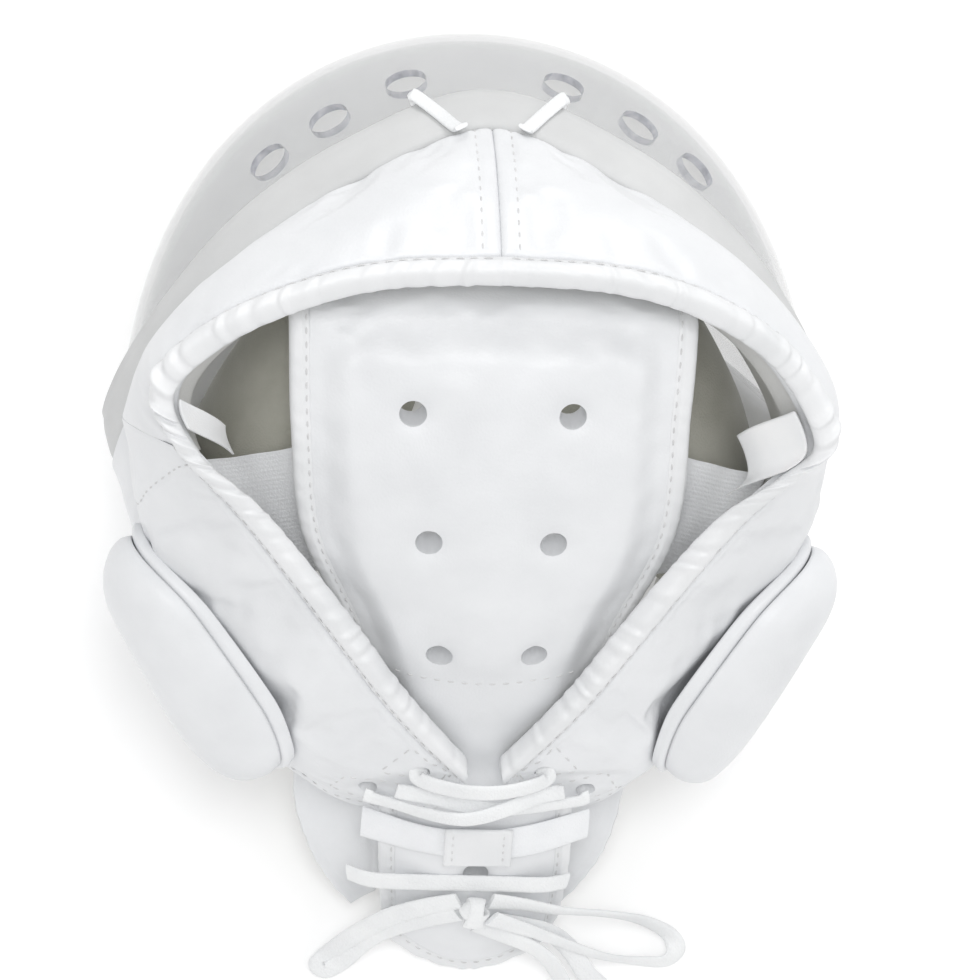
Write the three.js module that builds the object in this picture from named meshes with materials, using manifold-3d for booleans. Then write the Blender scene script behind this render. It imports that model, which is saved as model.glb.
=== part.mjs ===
// Sparring headgear with a clear face shield, standing on its lower rim.
// Millimetres. The wearer faces -Y, +X is the wearer's left and +Z is up.
import * as THREE from 'three';
import { mergeVertices } from 'three/addons/utils/BufferGeometryUtils.js';
import Module from 'manifold-3d';

const wasm = await Module();
wasm.setup();

// Leather shell
const SHELL_HALF_WIDTH = 112;
const FACE_REACH = 106;
const NAPE_REACH = 126;
const CROWN_HEIGHT = 208;
const PAD_THICKNESS = 18;
const PAD_EDGE_THICKNESS = 9;
const FOREHEAD_BULGE = 4;
const BACK_LEAN = 7.2;
const BINDING_WIDTH = 7;
const BINDING_THICKNESS = 8.5;
const EYELET_DIAMETER = 8;
const GAP = 0.35;
const BINDING_PROUD = 1;
const BINDING_CORNER = 2;
const CORE_SHARE = 0.48;
const CORE_FOLLOW = 0.6;
const EDGE_EASE = 0.25;

// Face shield, a dome round its own centre
const SHIELD_HALF_WIDTH = 99.5;
const SHIELD_REACH = 99;
const SHIELD_HALF_HEIGHT = 96;
const SHIELD_CENTRE_AHEAD = 55;
const SHIELD_CENTRE_UP = 86;
const SHIELD_THICKNESS = 2.4;
const VENT_DIAMETER = 12.5;
const VENT_INSET = 29;

// Face frame round the opening
const FRAME_WIDTH = 18;
const FRAME_LIP = 3;
const FRAME_DEPTH = 12;
const FRAME_CORNER = 2.6;
const PAD_PROUD = 3.4;

// Chin pad behind the lower part of the frame
const CHIN_PAD_HEIGHT = 40;
const CHIN_PAD_THICKNESS = 16;
const CHIN_SEAT = 1.1;
const CHIN_TURN = -52;
const CHIN_STEPS = 20;

// Crown pad, the long tongue that runs from the forehead to the nape
const TONGUE_HALF_WIDTH = 59.5;
const TONGUE_THICKNESS = 11;
const TONGUE_MARGIN_THICKNESS = 6;
const TONGUE_MARGIN = 9;
const TONGUE_BINDING_WIDTH = 6.5;
const TONGUE_BINDING_THICKNESS = 7.5;
const TONGUE_HOLE_DIAMETER = 8;
const TONGUE_FOOT_ROUND = 0.06;
const TONGUE_SAG_CROWN = 0.05;
const TONGUE_SAG_NAPE = 0.2;
const TONGUE_SAG_START = 0.3;
const TONGUE_SAG_RUN = 0.35;
const TONGUE_BINDING_PROUD = 0.8;
const TONGUE_BINDING_CORNER = 1.6;

// Ear guards
const EAR_BASE_THICKNESS = 5;
const EAR_SEAT = 1.08;
const EAR_DOME_HEIGHT = 17;
const EAR_DOME_SHARE = 0.93;
const EAR_DOME_RIM = 2;
const EAR_SQUARENESS = 2.6;

// Webbing, straps, ties, labels and lace
const WING_THICKNESS = 8;
const ELASTIC_THICKNESS = 1.6;
const NAPE_STRAP_WIDTH = 11;
const NAPE_STRAP_THICKNESS = 1.4;
const KEEPER_WIDTH = 21;
const KEEPER_HEIGHT = 14;
const KEEPER_THICKNESS = 1.4;
const TIE_WIDTH = 4.2;
const TIE_THICKNESS = 1.4;
const LABEL_THICKNESS = 0.8;
const LACE_WIDTH = 6.5;
const LACE_THICKNESS = 1.6;
const ELASTIC_SAG = 4;
const STRAP_ALONG = 0.727;
const STRAP_OVERHANG = 4;

// Half of the frame's loop, from brow to chin. around: degrees from the wearer's left, up.
// opening: degrees from straight ahead. flare: share that the rim stands out from the dome.
const FRAME_TURNS = [
  { around: 90, opening: 56, flare: 0.0 },
  { around: 63, opening: 67, flare: 0.0 },
  { around: 45, opening: 79, flare: 0.02 },
  { around: 31, opening: 91, flare: 0.06 },
  { around: 16, opening: 100, flare: 0.1 },
  { around: 0, opening: 104, flare: 0.12 },
  { around: -18, opening: 100, flare: 0.1 },
  { around: -36, opening: 87, flare: 0.05 },
  { around: -58, opening: 68, flare: 0.01 },
  { around: -90, opening: 54, flare: -0.03 },
];

// Degrees round the frame where the pads behind it meet.
const TEMPLE_TURN = 16;
const JAW_TURN = -40;

// Degrees round the shield of the vents above the brow. The mouth's mirror them.
const VENT_TURNS = [70.6, 55, 43.7];

// Upper edge of the shell round the crown opening, from the forehead to the lacing.
// across: share of the half width. ahead: share of the face or nape reach. up: of the height.
const CROWN_EDGE_LEFT = [
  { across: 0.0, ahead: 0.49, up: 1.0 },
  { across: 0.31, ahead: 0.475, up: 0.995 },
  { across: 0.55, ahead: 0.415, up: 0.981 },
  { across: 0.75, ahead: 0.325, up: 0.947 },
  { across: 0.875, ahead: 0.2, up: 0.904 },
  { across: 0.8, ahead: 0.04, up: 0.868 },
  { across: 0.643, ahead: -0.071, up: 0.798 },
  { across: 0.5, ahead: -0.198, up: 0.721 },
  { across: 0.357, ahead: -0.341, up: 0.644 },
  { across: 0.223, ahead: -0.468, up: 0.563 },
  { across: 0.045, ahead: -0.619, up: 0.471 },
];
const CROWN_EDGE_RIGHT = [
  { across: 0.0, ahead: 0.49, up: 1.0 },
  { across: 0.31, ahead: 0.475, up: 0.995 },
  { across: 0.55, ahead: 0.415, up: 0.981 },
  { across: 0.76, ahead: 0.29, up: 0.947 },
  { across: 0.875, ahead: 0.09, up: 0.904 },
  { across: 0.78, ahead: 0.0, up: 0.868 },
  { across: 0.643, ahead: -0.071, up: 0.798 },
  { across: 0.5, ahead: -0.198, up: 0.721 },
  { across: 0.357, ahead: -0.341, up: 0.644 },
  { across: 0.223, ahead: -0.468, up: 0.563 },
  { across: 0.045, ahead: -0.619, up: 0.471 },
];
const TEMPLE_ROW = 5;
const LEAN_START = 0.15;
const COLUMN_LEANS = [0, 0, 0.3, 0.7, 1];
const WING_LEAN = 0.4;

// Side pad behind the temple seam. A row is a column of the shell, front to back, and its
// points run down from below the crown edge to the foot.
const SIDE_COLUMNS = [
  [
    { across: 0.85, ahead: -0.085, up: 0.615 },
    { across: 0.84, ahead: -0.075, up: 0.457 },
    { across: 0.86, ahead: 0.04, up: 0.24 },
    { across: 0.75, ahead: 0.226, up: 0.005 },
  ],
  [
    { across: 0.695, ahead: -0.25, up: 0.577 },
    { across: 0.7, ahead: -0.25, up: 0.423 },
    { across: 0.7, ahead: -0.19, up: 0.24 },
    { across: 0.67, ahead: -0.08, up: 0.03 },
  ],
  [
    { across: 0.53, ahead: -0.43, up: 0.51 },
    { across: 0.57, ahead: -0.44, up: 0.375 },
    { across: 0.6, ahead: -0.38, up: 0.24 },
    { across: 0.6, ahead: -0.31, up: 0.115 },
  ],
  [
    { across: 0.39, ahead: -0.56, up: 0.45 },
    { across: 0.45, ahead: -0.585, up: 0.37 },
    { across: 0.48, ahead: -0.57, up: 0.29 },
    { across: 0.49, ahead: -0.56, up: 0.245 },
  ],
  [
    { across: 0.07, ahead: -0.65, up: 0.415 },
    { across: 0.11, ahead: -0.685, up: 0.355 },
    { across: 0.155, ahead: -0.695, up: 0.274 },
    { across: 0.2, ahead: -0.71, up: 0.212 },
  ],
];

// Crown pad from its hidden front edge to its foot. wide: share of its half width.
const TONGUE_ROWS = [
  { ahead: 0.585, up: 0.827, wide: 1.0 },
  { ahead: 0.49, up: 0.877, wide: 1.0 },
  { ahead: 0.38, up: 0.894, wide: 1.0 },
  { ahead: 0.15, up: 0.837, wide: 0.985 },
  { ahead: -0.135, up: 0.719, wide: 0.94 },
  { ahead: -0.365, up: 0.572, wide: 0.7 },
  { ahead: -0.635, up: 0.362, wide: 0.54 },
  { ahead: -0.825, up: 0.245, wide: 0.53 },
  { ahead: -0.952, up: 0.12, wide: 0.51 },
  { ahead: -1.01, up: 0.04, wide: 0.48 },
];

// Holes through the crown pad. along: share of the pad's rows. across: share of half width.
const TONGUE_HOLES = [
  { along: 0.325, across: 0.44 },
  { along: 0.438, across: 0.35 },
  { along: 0.55, across: 0.285 },
  { along: 0.778, across: 0.0 },
];

// Nape wing beside the crown pad's foot, below its seat on the side pad's inner face.
const WING_ROWS = [
  { outer: 0.48, outerAhead: -0.6, outerUp: 0.165, inner: 0.23, innerAhead: -0.6, innerUp: 0.215 },
  { outer: 0.44, outerAhead: -0.73, outerUp: 0.13, inner: 0.2, innerAhead: -0.72, innerUp: 0.155 },
  { outer: 0.37, outerAhead: -0.825, outerUp: 0.09, inner: 0.2, innerAhead: -0.81, innerUp: 0.085 },
  { outer: 0.3, outerAhead: -0.885, outerUp: 0.055, inner: 0.22, innerAhead: -0.84, innerUp: 0.045 },
];

// Places on the side pad, as shares front to back and top to foot.
const WING_SEAT = { outer: 0.74, inner: 0.88, down: 0.95 };
const EAR_CENTRE = { along: 0.455, down: 0.48 };
const EAR_REACH = { along: 0.3, down: 0.235 };
const EYELETS = [
  { along: 0.93, down: 0.15 },
  { along: 0.895, down: 0.5 },
];

// How finely each curved surface is divided.
const DOME_SECTORS = 40;
const DOME_RINGS = 5;
const FOREHEAD_STEPS = { along: 10, down: 5 };
const SIDE_STEPS = { along: 12, down: 7 };
const BINDING_STEPS = 28;
const TONGUE_STEPS = 16;
const TONGUE_COLUMNS = 8;
const EAR_STEPS = { rings: 5, baseRings: 3, sectors: 20 };
const ELASTIC_STEPS = { along: 6, across: 3 };
const WING_STEPS = { along: 8, across: 3 };
const HOLE_SIDES = 12;

const LEATHER = { color: 0xf4f5f6, roughness: 0.42 };
const WEBBING = { color: 0xeeeff0, roughness: 0.85 };

// A point from its distances to the wearer's left, ahead of the origin and up.
function place(across, ahead, up) {
  return new THREE.Vector3(across, -ahead, up);
}

function reach(share) {
  return share < 0 ? share * NAPE_REACH : share * FACE_REACH;
}

// The flap and the lacing lean to the wearer's right, more the farther back they lie.
function leanAt(ahead) {
  return (BACK_LEAN * Math.max(LEAN_START - ahead, 0)) / (1 + LEAN_START);
}

function shellPoint(side, row, leaning = 1) {
  const across = side * row.across * SHELL_HALF_WIDTH - leaning * leanAt(row.ahead);
  return place(across, reach(row.ahead), row.up * CROWN_HEIGHT);
}

function mix(a, b, share) {
  return a.clone().lerp(b, share);
}

function mixed(a, b, share) {
  return a + (b - a) * share;
}

function moved(from, direction, distance) {
  return from.clone().addScaledVector(direction, distance);
}

function towards(from, to, distance) {
  return moved(from, to.clone().sub(from).normalize(), distance);
}

// A smooth curve through points, read at an even share of its rows.
function curveThrough(points) {
  return new THREE.CatmullRomCurve3(points, false, 'catmullrom', 0.5);
}

function smoothStep(value) {
  const t = Math.min(Math.max(value, 0), 1);
  return t * t * (3 - 2 * t);
}

// Value of one column of a table, smoothed between rows.
function tableValue(rows, key, column, at) {
  let low = 0;
  while (low < rows.length - 2 && (rows[low + 1][key] - at) * (rows[0][key] - at) > 0) {
    low += 1;
  }
  const a = rows[low];
  const b = rows[low + 1];
  const before = rows[Math.max(low - 1, 0)];
  const after = rows[Math.min(low + 2, rows.length - 1)];
  const slopeA = low === 0 ? 0 : (b[column] - before[column]) / (b[key] - before[key]);
  const slopeB = low === rows.length - 2 ? 0 : (after[column] - a[column]) / (after[key] - a[key]);
  const span = b[key] - a[key];
  const t = (at - a[key]) / span;
  const t2 = t * t;
  const t3 = t2 * t;
  return a[column] * (2 * t3 - 3 * t2 + 1) + slopeA * span * (t3 - 2 * t2 + t)
    + b[column] * (3 * t2 - 2 * t3) + slopeB * span * (t3 - t2);
}

// A closed body from its corners and triangles, turned so that its faces point out.
function bodyFrom(points, triangles) {
  let volume = 0;
  for (const [a, b, c] of triangles) {
    volume += points[a].dot(new THREE.Vector3().crossVectors(points[b], points[c]));
  }
  const index = [];
  for (const [a, b, c] of triangles) {
    index.push(...(volume > 0 ? [a, b, c] : [a, c, b]));
  }
  const geometry = new THREE.BufferGeometry();
  const flat = points.flatMap((p) => [p.x, p.y, p.z]);
  geometry.setAttribute('position', new THREE.Float32BufferAttribute(flat, 3));
  geometry.setIndex(index);
  geometry.computeVertexNormals();
  return geometry;
}

// A sheet between two like grids of points, closed round its four edges.
function sheetBody(outer, inner) {
  const rows = outer.length;
  const columns = outer[0].length;
  const points = [...outer.flat(), ...inner.flat()];
  const low = rows * columns;
  const triangles = [];
  const quad = (a, b, c, d) => triangles.push([a, b, c], [a, c, d]);
  for (let i = 0; i < rows - 1; i += 1) {
    for (let j = 0; j < columns - 1; j += 1) {
      const a = i * columns + j;
      quad(a, a + 1, a + columns + 1, a + columns);
      quad(low + a, low + a + columns, low + a + columns + 1, low + a + 1);
    }
  }
  const edge = [];
  for (let j = 0; j < columns - 1; j += 1) edge.push(j);
  for (let i = 0; i < rows - 1; i += 1) edge.push(i * columns + columns - 1);
  for (let j = columns - 1; j > 0; j -= 1) edge.push((rows - 1) * columns + j);
  for (let i = rows - 1; i > 0; i -= 1) edge.push(i * columns);
  edge.forEach((a, k) => {
    const b = edge[(k + 1) % edge.length];
    quad(a, low + a, low + b, b);
  });
  return bodyFrom(points, triangles);
}

// A sheet laid out in rings round a middle point, closed round its rim.
function discBody(upper, lower, rings, sectors) {
  const points = [upper(0, 0), lower(0, 0)];
  for (const surface of [upper, lower]) {
    for (let r = 1; r <= rings; r += 1) {
      for (let s = 0; s < sectors; s += 1) {
        points.push(surface(r / rings, (s / sectors) * 2 * Math.PI));
      }
    }
  }
  const at = (face, r, s) => (
    r === 0 ? face : 2 + (face * rings + r - 1) * sectors + (s % sectors));
  const triangles = [];
  for (let s = 0; s < sectors; s += 1) {
    triangles.push([at(0, 0, s), at(0, 1, s), at(0, 1, s + 1)]);
    triangles.push([at(1, 0, s), at(1, 1, s + 1), at(1, 1, s)]);
    for (let r = 1; r < rings; r += 1) {
      triangles.push([at(0, r, s), at(0, r + 1, s), at(0, r + 1, s + 1)]);
      triangles.push([at(0, r, s), at(0, r + 1, s + 1), at(0, r, s + 1)]);
      triangles.push([at(1, r, s), at(1, r + 1, s + 1), at(1, r + 1, s)]);
      triangles.push([at(1, r, s), at(1, r, s + 1), at(1, r + 1, s + 1)]);
    }
    triangles.push([at(0, rings, s), at(1, rings, s), at(1, rings, s + 1)]);
    triangles.push([at(0, rings, s), at(1, rings, s + 1), at(0, rings, s + 1)]);
  }
  return bodyFrom(points, triangles);
}

// A section carried along stations of { centre, wide, thick }. The section's points are
// [across the width, across the thickness].
function sweptBody(stations, section, loop = false) {
  const sides = section.length;
  const points = stations.flatMap((station) => section.map(([w, t]) => (
    moved(moved(station.centre, station.wide, w), station.thick, t))));
  const triangles = [];
  const last = loop ? stations.length : stations.length - 1;
  for (let i = 0; i < last; i += 1) {
    const next = (i + 1) % stations.length;
    for (let k = 0; k < sides; k += 1) {
      const l = (k + 1) % sides;
      triangles.push([i * sides + k, i * sides + l, next * sides + l]);
      triangles.push([i * sides + k, next * sides + l, next * sides + k]);
    }
  }
  if (!loop) {
    const end = (stations.length - 1) * sides;
    for (let k = 1; k < sides - 1; k += 1) {
      triangles.push([0, k + 1, k]);
      triangles.push([end, end + k, end + k + 1]);
    }
  }
  return bodyFrom(points, triangles);
}

// A rectangle with cut corners, from its low and high sides.
function cutRectangle(wLow, wHigh, tLow, tHigh, cut) {
  return [
    [wLow + cut, tLow], [wHigh - cut, tLow], [wHigh, tLow + cut], [wHigh, tHigh - cut],
    [wHigh - cut, tHigh], [wLow + cut, tHigh], [wLow, tHigh - cut], [wLow, tLow + cut],
  ];
}

function rectangle(width, thickness) {
  const w = width / 2;
  const t = thickness / 2;
  return [[-w, -t], [w, -t], [w, t], [-w, t]];
}

// A flat band along points. Its thickness stands along the given direction at each point.
function bandBody(points, thickDirections, width, thickness, steps) {
  const curve = curveThrough(points);
  const directions = curveThrough(thickDirections);
  const stations = [];
  for (let i = 0; i <= steps; i += 1) {
    const t = i / steps;
    const tangent = curve.getTangent(t);
    const thick = directions.getPoint(t);
    thick.addScaledVector(tangent, -thick.dot(tangent)).normalize();
    const wide = new THREE.Vector3().crossVectors(tangent, thick);
    stations.push({ centre: curve.getPoint(t), wide, thick });
  }
  return sweptBody(stations, rectangle(width, thickness));
}

function toSolid(geometry) {
  const bare = geometry.clone();
  bare.deleteAttribute('normal');
  bare.deleteAttribute('uv');
  const merged = mergeVertices(bare);
  const vertProperties = new Float32Array(merged.attributes.position.array);
  const triVerts = new Uint32Array(merged.index.array);
  return new wasm.Manifold(new wasm.Mesh({ numProp: 3, vertProperties, triVerts }));
}

function toGeometry(solid) {
  const mesh = solid.getMesh();
  const geometry = new THREE.BufferGeometry();
  geometry.setAttribute('position', new THREE.BufferAttribute(mesh.vertProperties.slice(), 3));
  geometry.setIndex(new THREE.BufferAttribute(mesh.triVerts.slice(), 1));
  geometry.computeVertexNormals();
  return geometry;
}

// A round cutter through a point, along a direction.
function drill(centre, direction, diameter, length, sides) {
  const bit = new THREE.CylinderGeometry(diameter / 2, diameter / 2, length, sides);
  const turn = new THREE.Quaternion().setFromUnitVectors(new THREE.Vector3(0, 1, 0), direction);
  bit.applyQuaternion(turn);
  bit.translate(centre.x, centre.y, centre.z);
  return bit;
}

function cutAway(geometry, cutters) {
  let solid = toSolid(geometry);
  for (const cutter of cutters) {
    solid = solid.subtract(toSolid(cutter));
  }
  return toGeometry(solid);
}

// Shield and frame

function foldedTurn(around) {
  const turn = around < -180 ? around + 360 : around;
  if (turn > 90) return 180 - turn;
  return turn < -90 ? -180 - turn : turn;
}

function domeOutward(point) {
  const ahead = -point.y - SHIELD_CENTRE_AHEAD;
  const up = point.z - SHIELD_CENTRE_UP;
  return new THREE.Vector3(
    point.x / SHIELD_HALF_WIDTH ** 2,
    -ahead / SHIELD_REACH ** 2,
    up / SHIELD_HALF_HEIGHT ** 2,
  ).normalize();
}

// Radians from straight ahead to the frame.
function openingAt(around) {
  return THREE.MathUtils.degToRad(tableValue(FRAME_TURNS, 'around', 'opening', foldedTurn(around)));
}

// A point of the dome: around in degrees, share 0 at its middle and 1 at the frame.
function domePoint(around, share, lift = 0) {
  const turn = foldedTurn(around);
  const opening = openingAt(around) * share;
  const scale = 1 + tableValue(FRAME_TURNS, 'around', 'flare', turn) * share ** 6;
  const angle = THREE.MathUtils.degToRad(around);
  const point = place(
    SHIELD_HALF_WIDTH * scale * Math.sin(opening) * Math.cos(angle),
    SHIELD_CENTRE_AHEAD + SHIELD_REACH * scale * Math.cos(opening),
    SHIELD_CENTRE_UP + SHIELD_HALF_HEIGHT * scale * Math.sin(opening) * Math.sin(angle),
  );
  return moved(point, domeOutward(point), lift);
}

// The frame's own directions: out from the dome, and back away from the opening.
function frameStation(around) {
  const centre = domePoint(around, 1);
  const step = 1.5;
  const tangent = domePoint(around - step, 1).sub(domePoint(around + step, 1)).normalize();
  const thick = domeOutward(centre);
  thick.addScaledVector(tangent, -thick.dot(tangent)).normalize();
  const wide = domePoint(around, 1.04).sub(centre);
  wide.addScaledVector(tangent, -wide.dot(tangent));
  wide.addScaledVector(thick, -wide.dot(thick)).normalize();
  return { centre, wide, thick };
}

function shieldShell(lowLift, highLift, rimShare) {
  const turn = (angle) => 90 - THREE.MathUtils.radToDeg(angle);
  const surface = (lift) => (r, angle) => domePoint(turn(angle), r * rimShare, lift);
  return discBody(surface(highLift), surface(lowLift), DOME_RINGS, DOME_SECTORS);
}

function faceShield() {
  const cutters = [];
  for (const turn of VENT_TURNS) {
    for (const around of [turn, 180 - turn, -turn, turn - 180]) {
      const share = 1 - VENT_INSET / (openingAt(around) * SHIELD_REACH);
      const centre = domePoint(around, share);
      cutters.push(drill(centre, domeOutward(centre), VENT_DIAMETER, 8 * SHIELD_THICKNESS, HOLE_SIDES));
    }
  }
  return cutAway(shieldShell(-SHIELD_THICKNESS, 0, 1), cutters);
}

function frameLoop() {
  const stations = [];
  for (let i = 0; i < DOME_SECTORS; i += 1) {
    stations.push(frameStation(90 - (360 * i) / DOME_SECTORS));
  }
  return stations;
}

function frameSection(grown) {
  const half = FRAME_WIDTH / 2 + grown;
  return cutRectangle(-half, half, FRAME_LIP - FRAME_DEPTH - grown, FRAME_LIP + grown, FRAME_CORNER);
}

function faceFrame() {
  const groove = shieldShell(-SHIELD_THICKNESS - GAP, GAP, 1 + GAP / SHIELD_REACH);
  return cutAway(sweptBody(frameLoop(), frameSection(0), true), [groove]);
}

// Leather shell

const CORE_UP = CORE_SHARE * CROWN_HEIGHT;

// Direction from the shell's outer face into its padding.
function inward(point) {
  const up = point.z > CORE_UP ? CORE_UP : mixed(CORE_UP, point.z, CORE_FOLLOW);
  return new THREE.Vector3(-point.x, -point.y, up - point.z).normalize();
}

function crownEdge(side) {
  const rows = side > 0 ? CROWN_EDGE_LEFT : CROWN_EDGE_RIGHT;
  return curveThrough(rows.map((row) => shellPoint(side, row)));
}

const CROWN_SPANS = CROWN_EDGE_LEFT.length - 1;

// The pads' edge just behind the frame, on the given side.
function frameBack(side, around) {
  const station = frameStation(side > 0 ? around : -180 - around);
  const behind = moved(station.centre, station.wide, FRAME_WIDTH / 2 + GAP);
  return moved(behind, station.thick, PAD_PROUD);
}

// Outer face of a forehead pad. u runs from the centre to the temple, v from crown to frame.
function foreheadPoint(side, u, v) {
  const edge = crownEdge(side).getPoint((u * TEMPLE_ROW) / CROWN_SPANS);
  const foot = frameBack(side, 90 + (TEMPLE_TURN - 90) * u);
  const top = towards(edge, foot, BINDING_WIDTH + GAP);
  const point = mix(top, foot, v);
  return moved(point, inward(point), -4 * FOREHEAD_BULGE * (1 + u) * v * (1 - v));
}

// Thickness eases up from a thin edge. edges: shares of distance from each edge.
function padDepth(distances) {
  const nearest = Math.min(...distances);
  return PAD_EDGE_THICKNESS + (PAD_THICKNESS - PAD_EDGE_THICKNESS) * smoothStep(nearest / EDGE_EASE);
}

function gridOf(rows, columns, point) {
  const grid = [];
  for (let i = 0; i <= rows; i += 1) {
    const line = [];
    for (let j = 0; j <= columns; j += 1) {
      line.push(point(i / rows, j / columns));
    }
    grid.push(line);
  }
  return grid;
}

// Pulls the first and last rows of a grid in, so that neighbours keep their gap.
function trimmed(grid, first, last) {
  const end = grid.length - 1;
  grid[0] = grid[0].map((p, j) => towards(p, grid[1][j], first));
  grid[end] = grid[end].map((p, j) => towards(p, grid[end - 1][j], last));
  return grid;
}

function foreheadPad(side) {
  const face = gridOf(FOREHEAD_STEPS.along, FOREHEAD_STEPS.down, (u, v) => foreheadPoint(side, u, v));
  const outer = trimmed(face, GAP, GAP);
  const inner = outer.map((line, i) => line.map((p, j) => {
    const v = j / (line.length - 1);
    return moved(p, inward(p), padDepth([v, 1 - v, 1 - i / (2 * outer.length)]));
  }));
  return cutAway(sheetBody(outer, inner), padCutters(side));
}

// Outer face of a side pad. u runs from the temple seam to the lacing, v from crown to foot.
function sidePoint(side, u, v) {
  const front = v < 0.5
    ? foreheadPoint(side, 1, 2 * v)
    : frameBack(side, TEMPLE_TURN + (JAW_TURN - TEMPLE_TURN) * (2 * v - 1));
  const edge = crownEdge(side);
  const points = [front];
  SIDE_COLUMNS.forEach((column, k) => {
    const crown = edge.getPoint((TEMPLE_ROW + k + 1) / CROWN_SPANS);
    const below = column.map((row) => shellPoint(side, row, COLUMN_LEANS[k]));
    const top = towards(crown, below[0], BINDING_WIDTH + GAP);
    points.push(curveThrough([top, ...below]).getPoint(v));
  });
  return curveThrough(points).getPoint(u);
}

function sideOutward(side, u, v) {
  return inward(sidePoint(side, u, v)).negate();
}

function sidePad(side) {
  const face = gridOf(SIDE_STEPS.along, SIDE_STEPS.down, (u, v) => sidePoint(side, u, v));
  const outer = trimmed(face, GAP, 0);
  const inner = outer.map((line, i) => line.map((p, j) => {
    const u = i / (outer.length - 1);
    const v = j / (line.length - 1);
    return moved(p, inward(p), padDepth([v, 1 - v, 1 - u]));
  }));
  const cutters = EYELETS.map((eyelet) => {
    const centre = sidePoint(side, eyelet.along, eyelet.down);
    const direction = sideOutward(side, eyelet.along, eyelet.down);
    return drill(centre, direction, EYELET_DIAMETER, 3 * PAD_THICKNESS, HOLE_SIDES);
  });
  return cutAway(sheetBody(outer, inner), [...cutters, ...padCutters(side)]);
}

// Stations of the leather binding along the crown opening, outside the pads' upper edge.
function bindingStations(side) {
  const edge = crownEdge(side);
  const stations = [];
  const below = (rows) => (rows <= TEMPLE_ROW
    ? foreheadPoint(side, rows / TEMPLE_ROW, 0.1)
    : sidePoint(side, (rows - TEMPLE_ROW) / (CROWN_SPANS - TEMPLE_ROW), 0.1));
  for (let i = 0; i <= BINDING_STEPS; i += 1) {
    const t = i / BINDING_STEPS;
    const centre = edge.getPoint(t);
    const wide = below(t * CROWN_SPANS).sub(centre).normalize();
    const thick = inward(centre);
    thick.addScaledVector(wide, -thick.dot(wide)).normalize();
    stations.push({ centre, wide, thick });
  }
  return stations;
}

function crownBinding(side) {
  const stations = bindingStations(side);
  stations[0].centre.x += (side * GAP) / 2;
  const low = -BINDING_PROUD;
  return sweptBody(stations, cutRectangle(0, BINDING_WIDTH, low, low + BINDING_THICKNESS, BINDING_CORNER));
}

// The room that the binding and the crown pad take out of the pads round them.
function padCutters(side) {
  const low = -BINDING_PROUD - GAP;
  const high = BINDING_THICKNESS - BINDING_PROUD + GAP;
  const seat = cutRectangle(-BINDING_WIDTH, BINDING_WIDTH + GAP, low, high, BINDING_CORNER / 2);
  const room = (lift) => gridOf(TONGUE_STEPS, TONGUE_COLUMNS / 2, (t, w) => {
    const row = tongueRow(t);
    const c = 2 * w - 1;
    const point = row.middle.clone();
    point.x += c * (row.half + 2 * GAP);
    return moved(point, row.normal, lift - tongueSag(t) * row.half * c * c);
  });
  const depth = 3 * PAD_THICKNESS;
  return [
    sweptBody(bindingStations(side), seat),
    sheetBody(room(BINDING_PROUD + GAP), room(-depth)),
    sweptBody(frameLoop(), frameSection(GAP), true),
  ];
}

// Chin pad: a crescent that stands on the surface, inside the frame's lower part.
function chinPad() {
  const outer = [];
  const inner = [];
  for (let i = 0; i <= CHIN_STEPS; i += 1) {
    const station = frameStation(mixed(CHIN_TURN, -180 - CHIN_TURN, i / CHIN_STEPS));
    const behind = moved(station.centre, station.wide, FRAME_WIDTH / 2);
    const corner = moved(behind, station.thick, FRAME_LIP - FRAME_DEPTH);
    const level = new THREE.Vector3(station.thick.x, station.thick.y, 0).normalize();
    const face = moved(corner, level, CHIN_SEAT - GAP);
    const back = moved(face, level, -CHIN_PAD_THICKNESS);
    outer.push(new THREE.Vector2(face.x, face.y));
    inner.push(new THREE.Vector2(back.x, back.y));
  }
  const shape = new THREE.Shape([...outer, ...inner.reverse()]);
  return new THREE.ExtrudeGeometry(shape, { depth: CHIN_PAD_HEIGHT, bevelEnabled: false });
}

// Crown pad

const tongueEdge = curveThrough(TONGUE_ROWS.map((row) => (
  place(row.wide * TONGUE_HALF_WIDTH, reach(row.ahead), row.up * CROWN_HEIGHT))));
const TONGUE_LENGTH = tongueEdge.getLength();

function tongueRow(t) {
  const point = tongueEdge.getPoint(t);
  const nearby = 0.1 / (TONGUE_ROWS.length - 1);
  const next = tongueEdge.getPoint(Math.min(t + nearby, 1));
  const slope = next.sub(tongueEdge.getPoint(Math.max(t - nearby, 0)));
  const normal = new THREE.Vector3(0, -slope.z, slope.y).normalize();
  const ahead = -point.y / (point.y > 0 ? NAPE_REACH : FACE_REACH);
  return { half: point.x, middle: new THREE.Vector3(-leanAt(ahead), point.y, point.z), normal };
}

// How far the crown pad's edges drop, as a share of its half width.
function tongueSag(along) {
  const share = smoothStep((along - TONGUE_SAG_START) / TONGUE_SAG_RUN);
  return mixed(TONGUE_SAG_CROWN, TONGUE_SAG_NAPE, share);
}

// Outer face of the crown pad. c runs from -1 at the right edge to 1 at the left.
function tonguePoint(along, c, lift = 0) {
  const row = tongueRow(along * (1 - TONGUE_FOOT_ROUND * c * c * along ** 8));
  const half = row.half - TONGUE_BINDING_WIDTH - GAP;
  const sag = tongueSag(along) * row.half * c * c;
  const point = row.middle.clone();
  point.x += c * half;
  return moved(point, row.normal, lift - sag);
}

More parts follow.
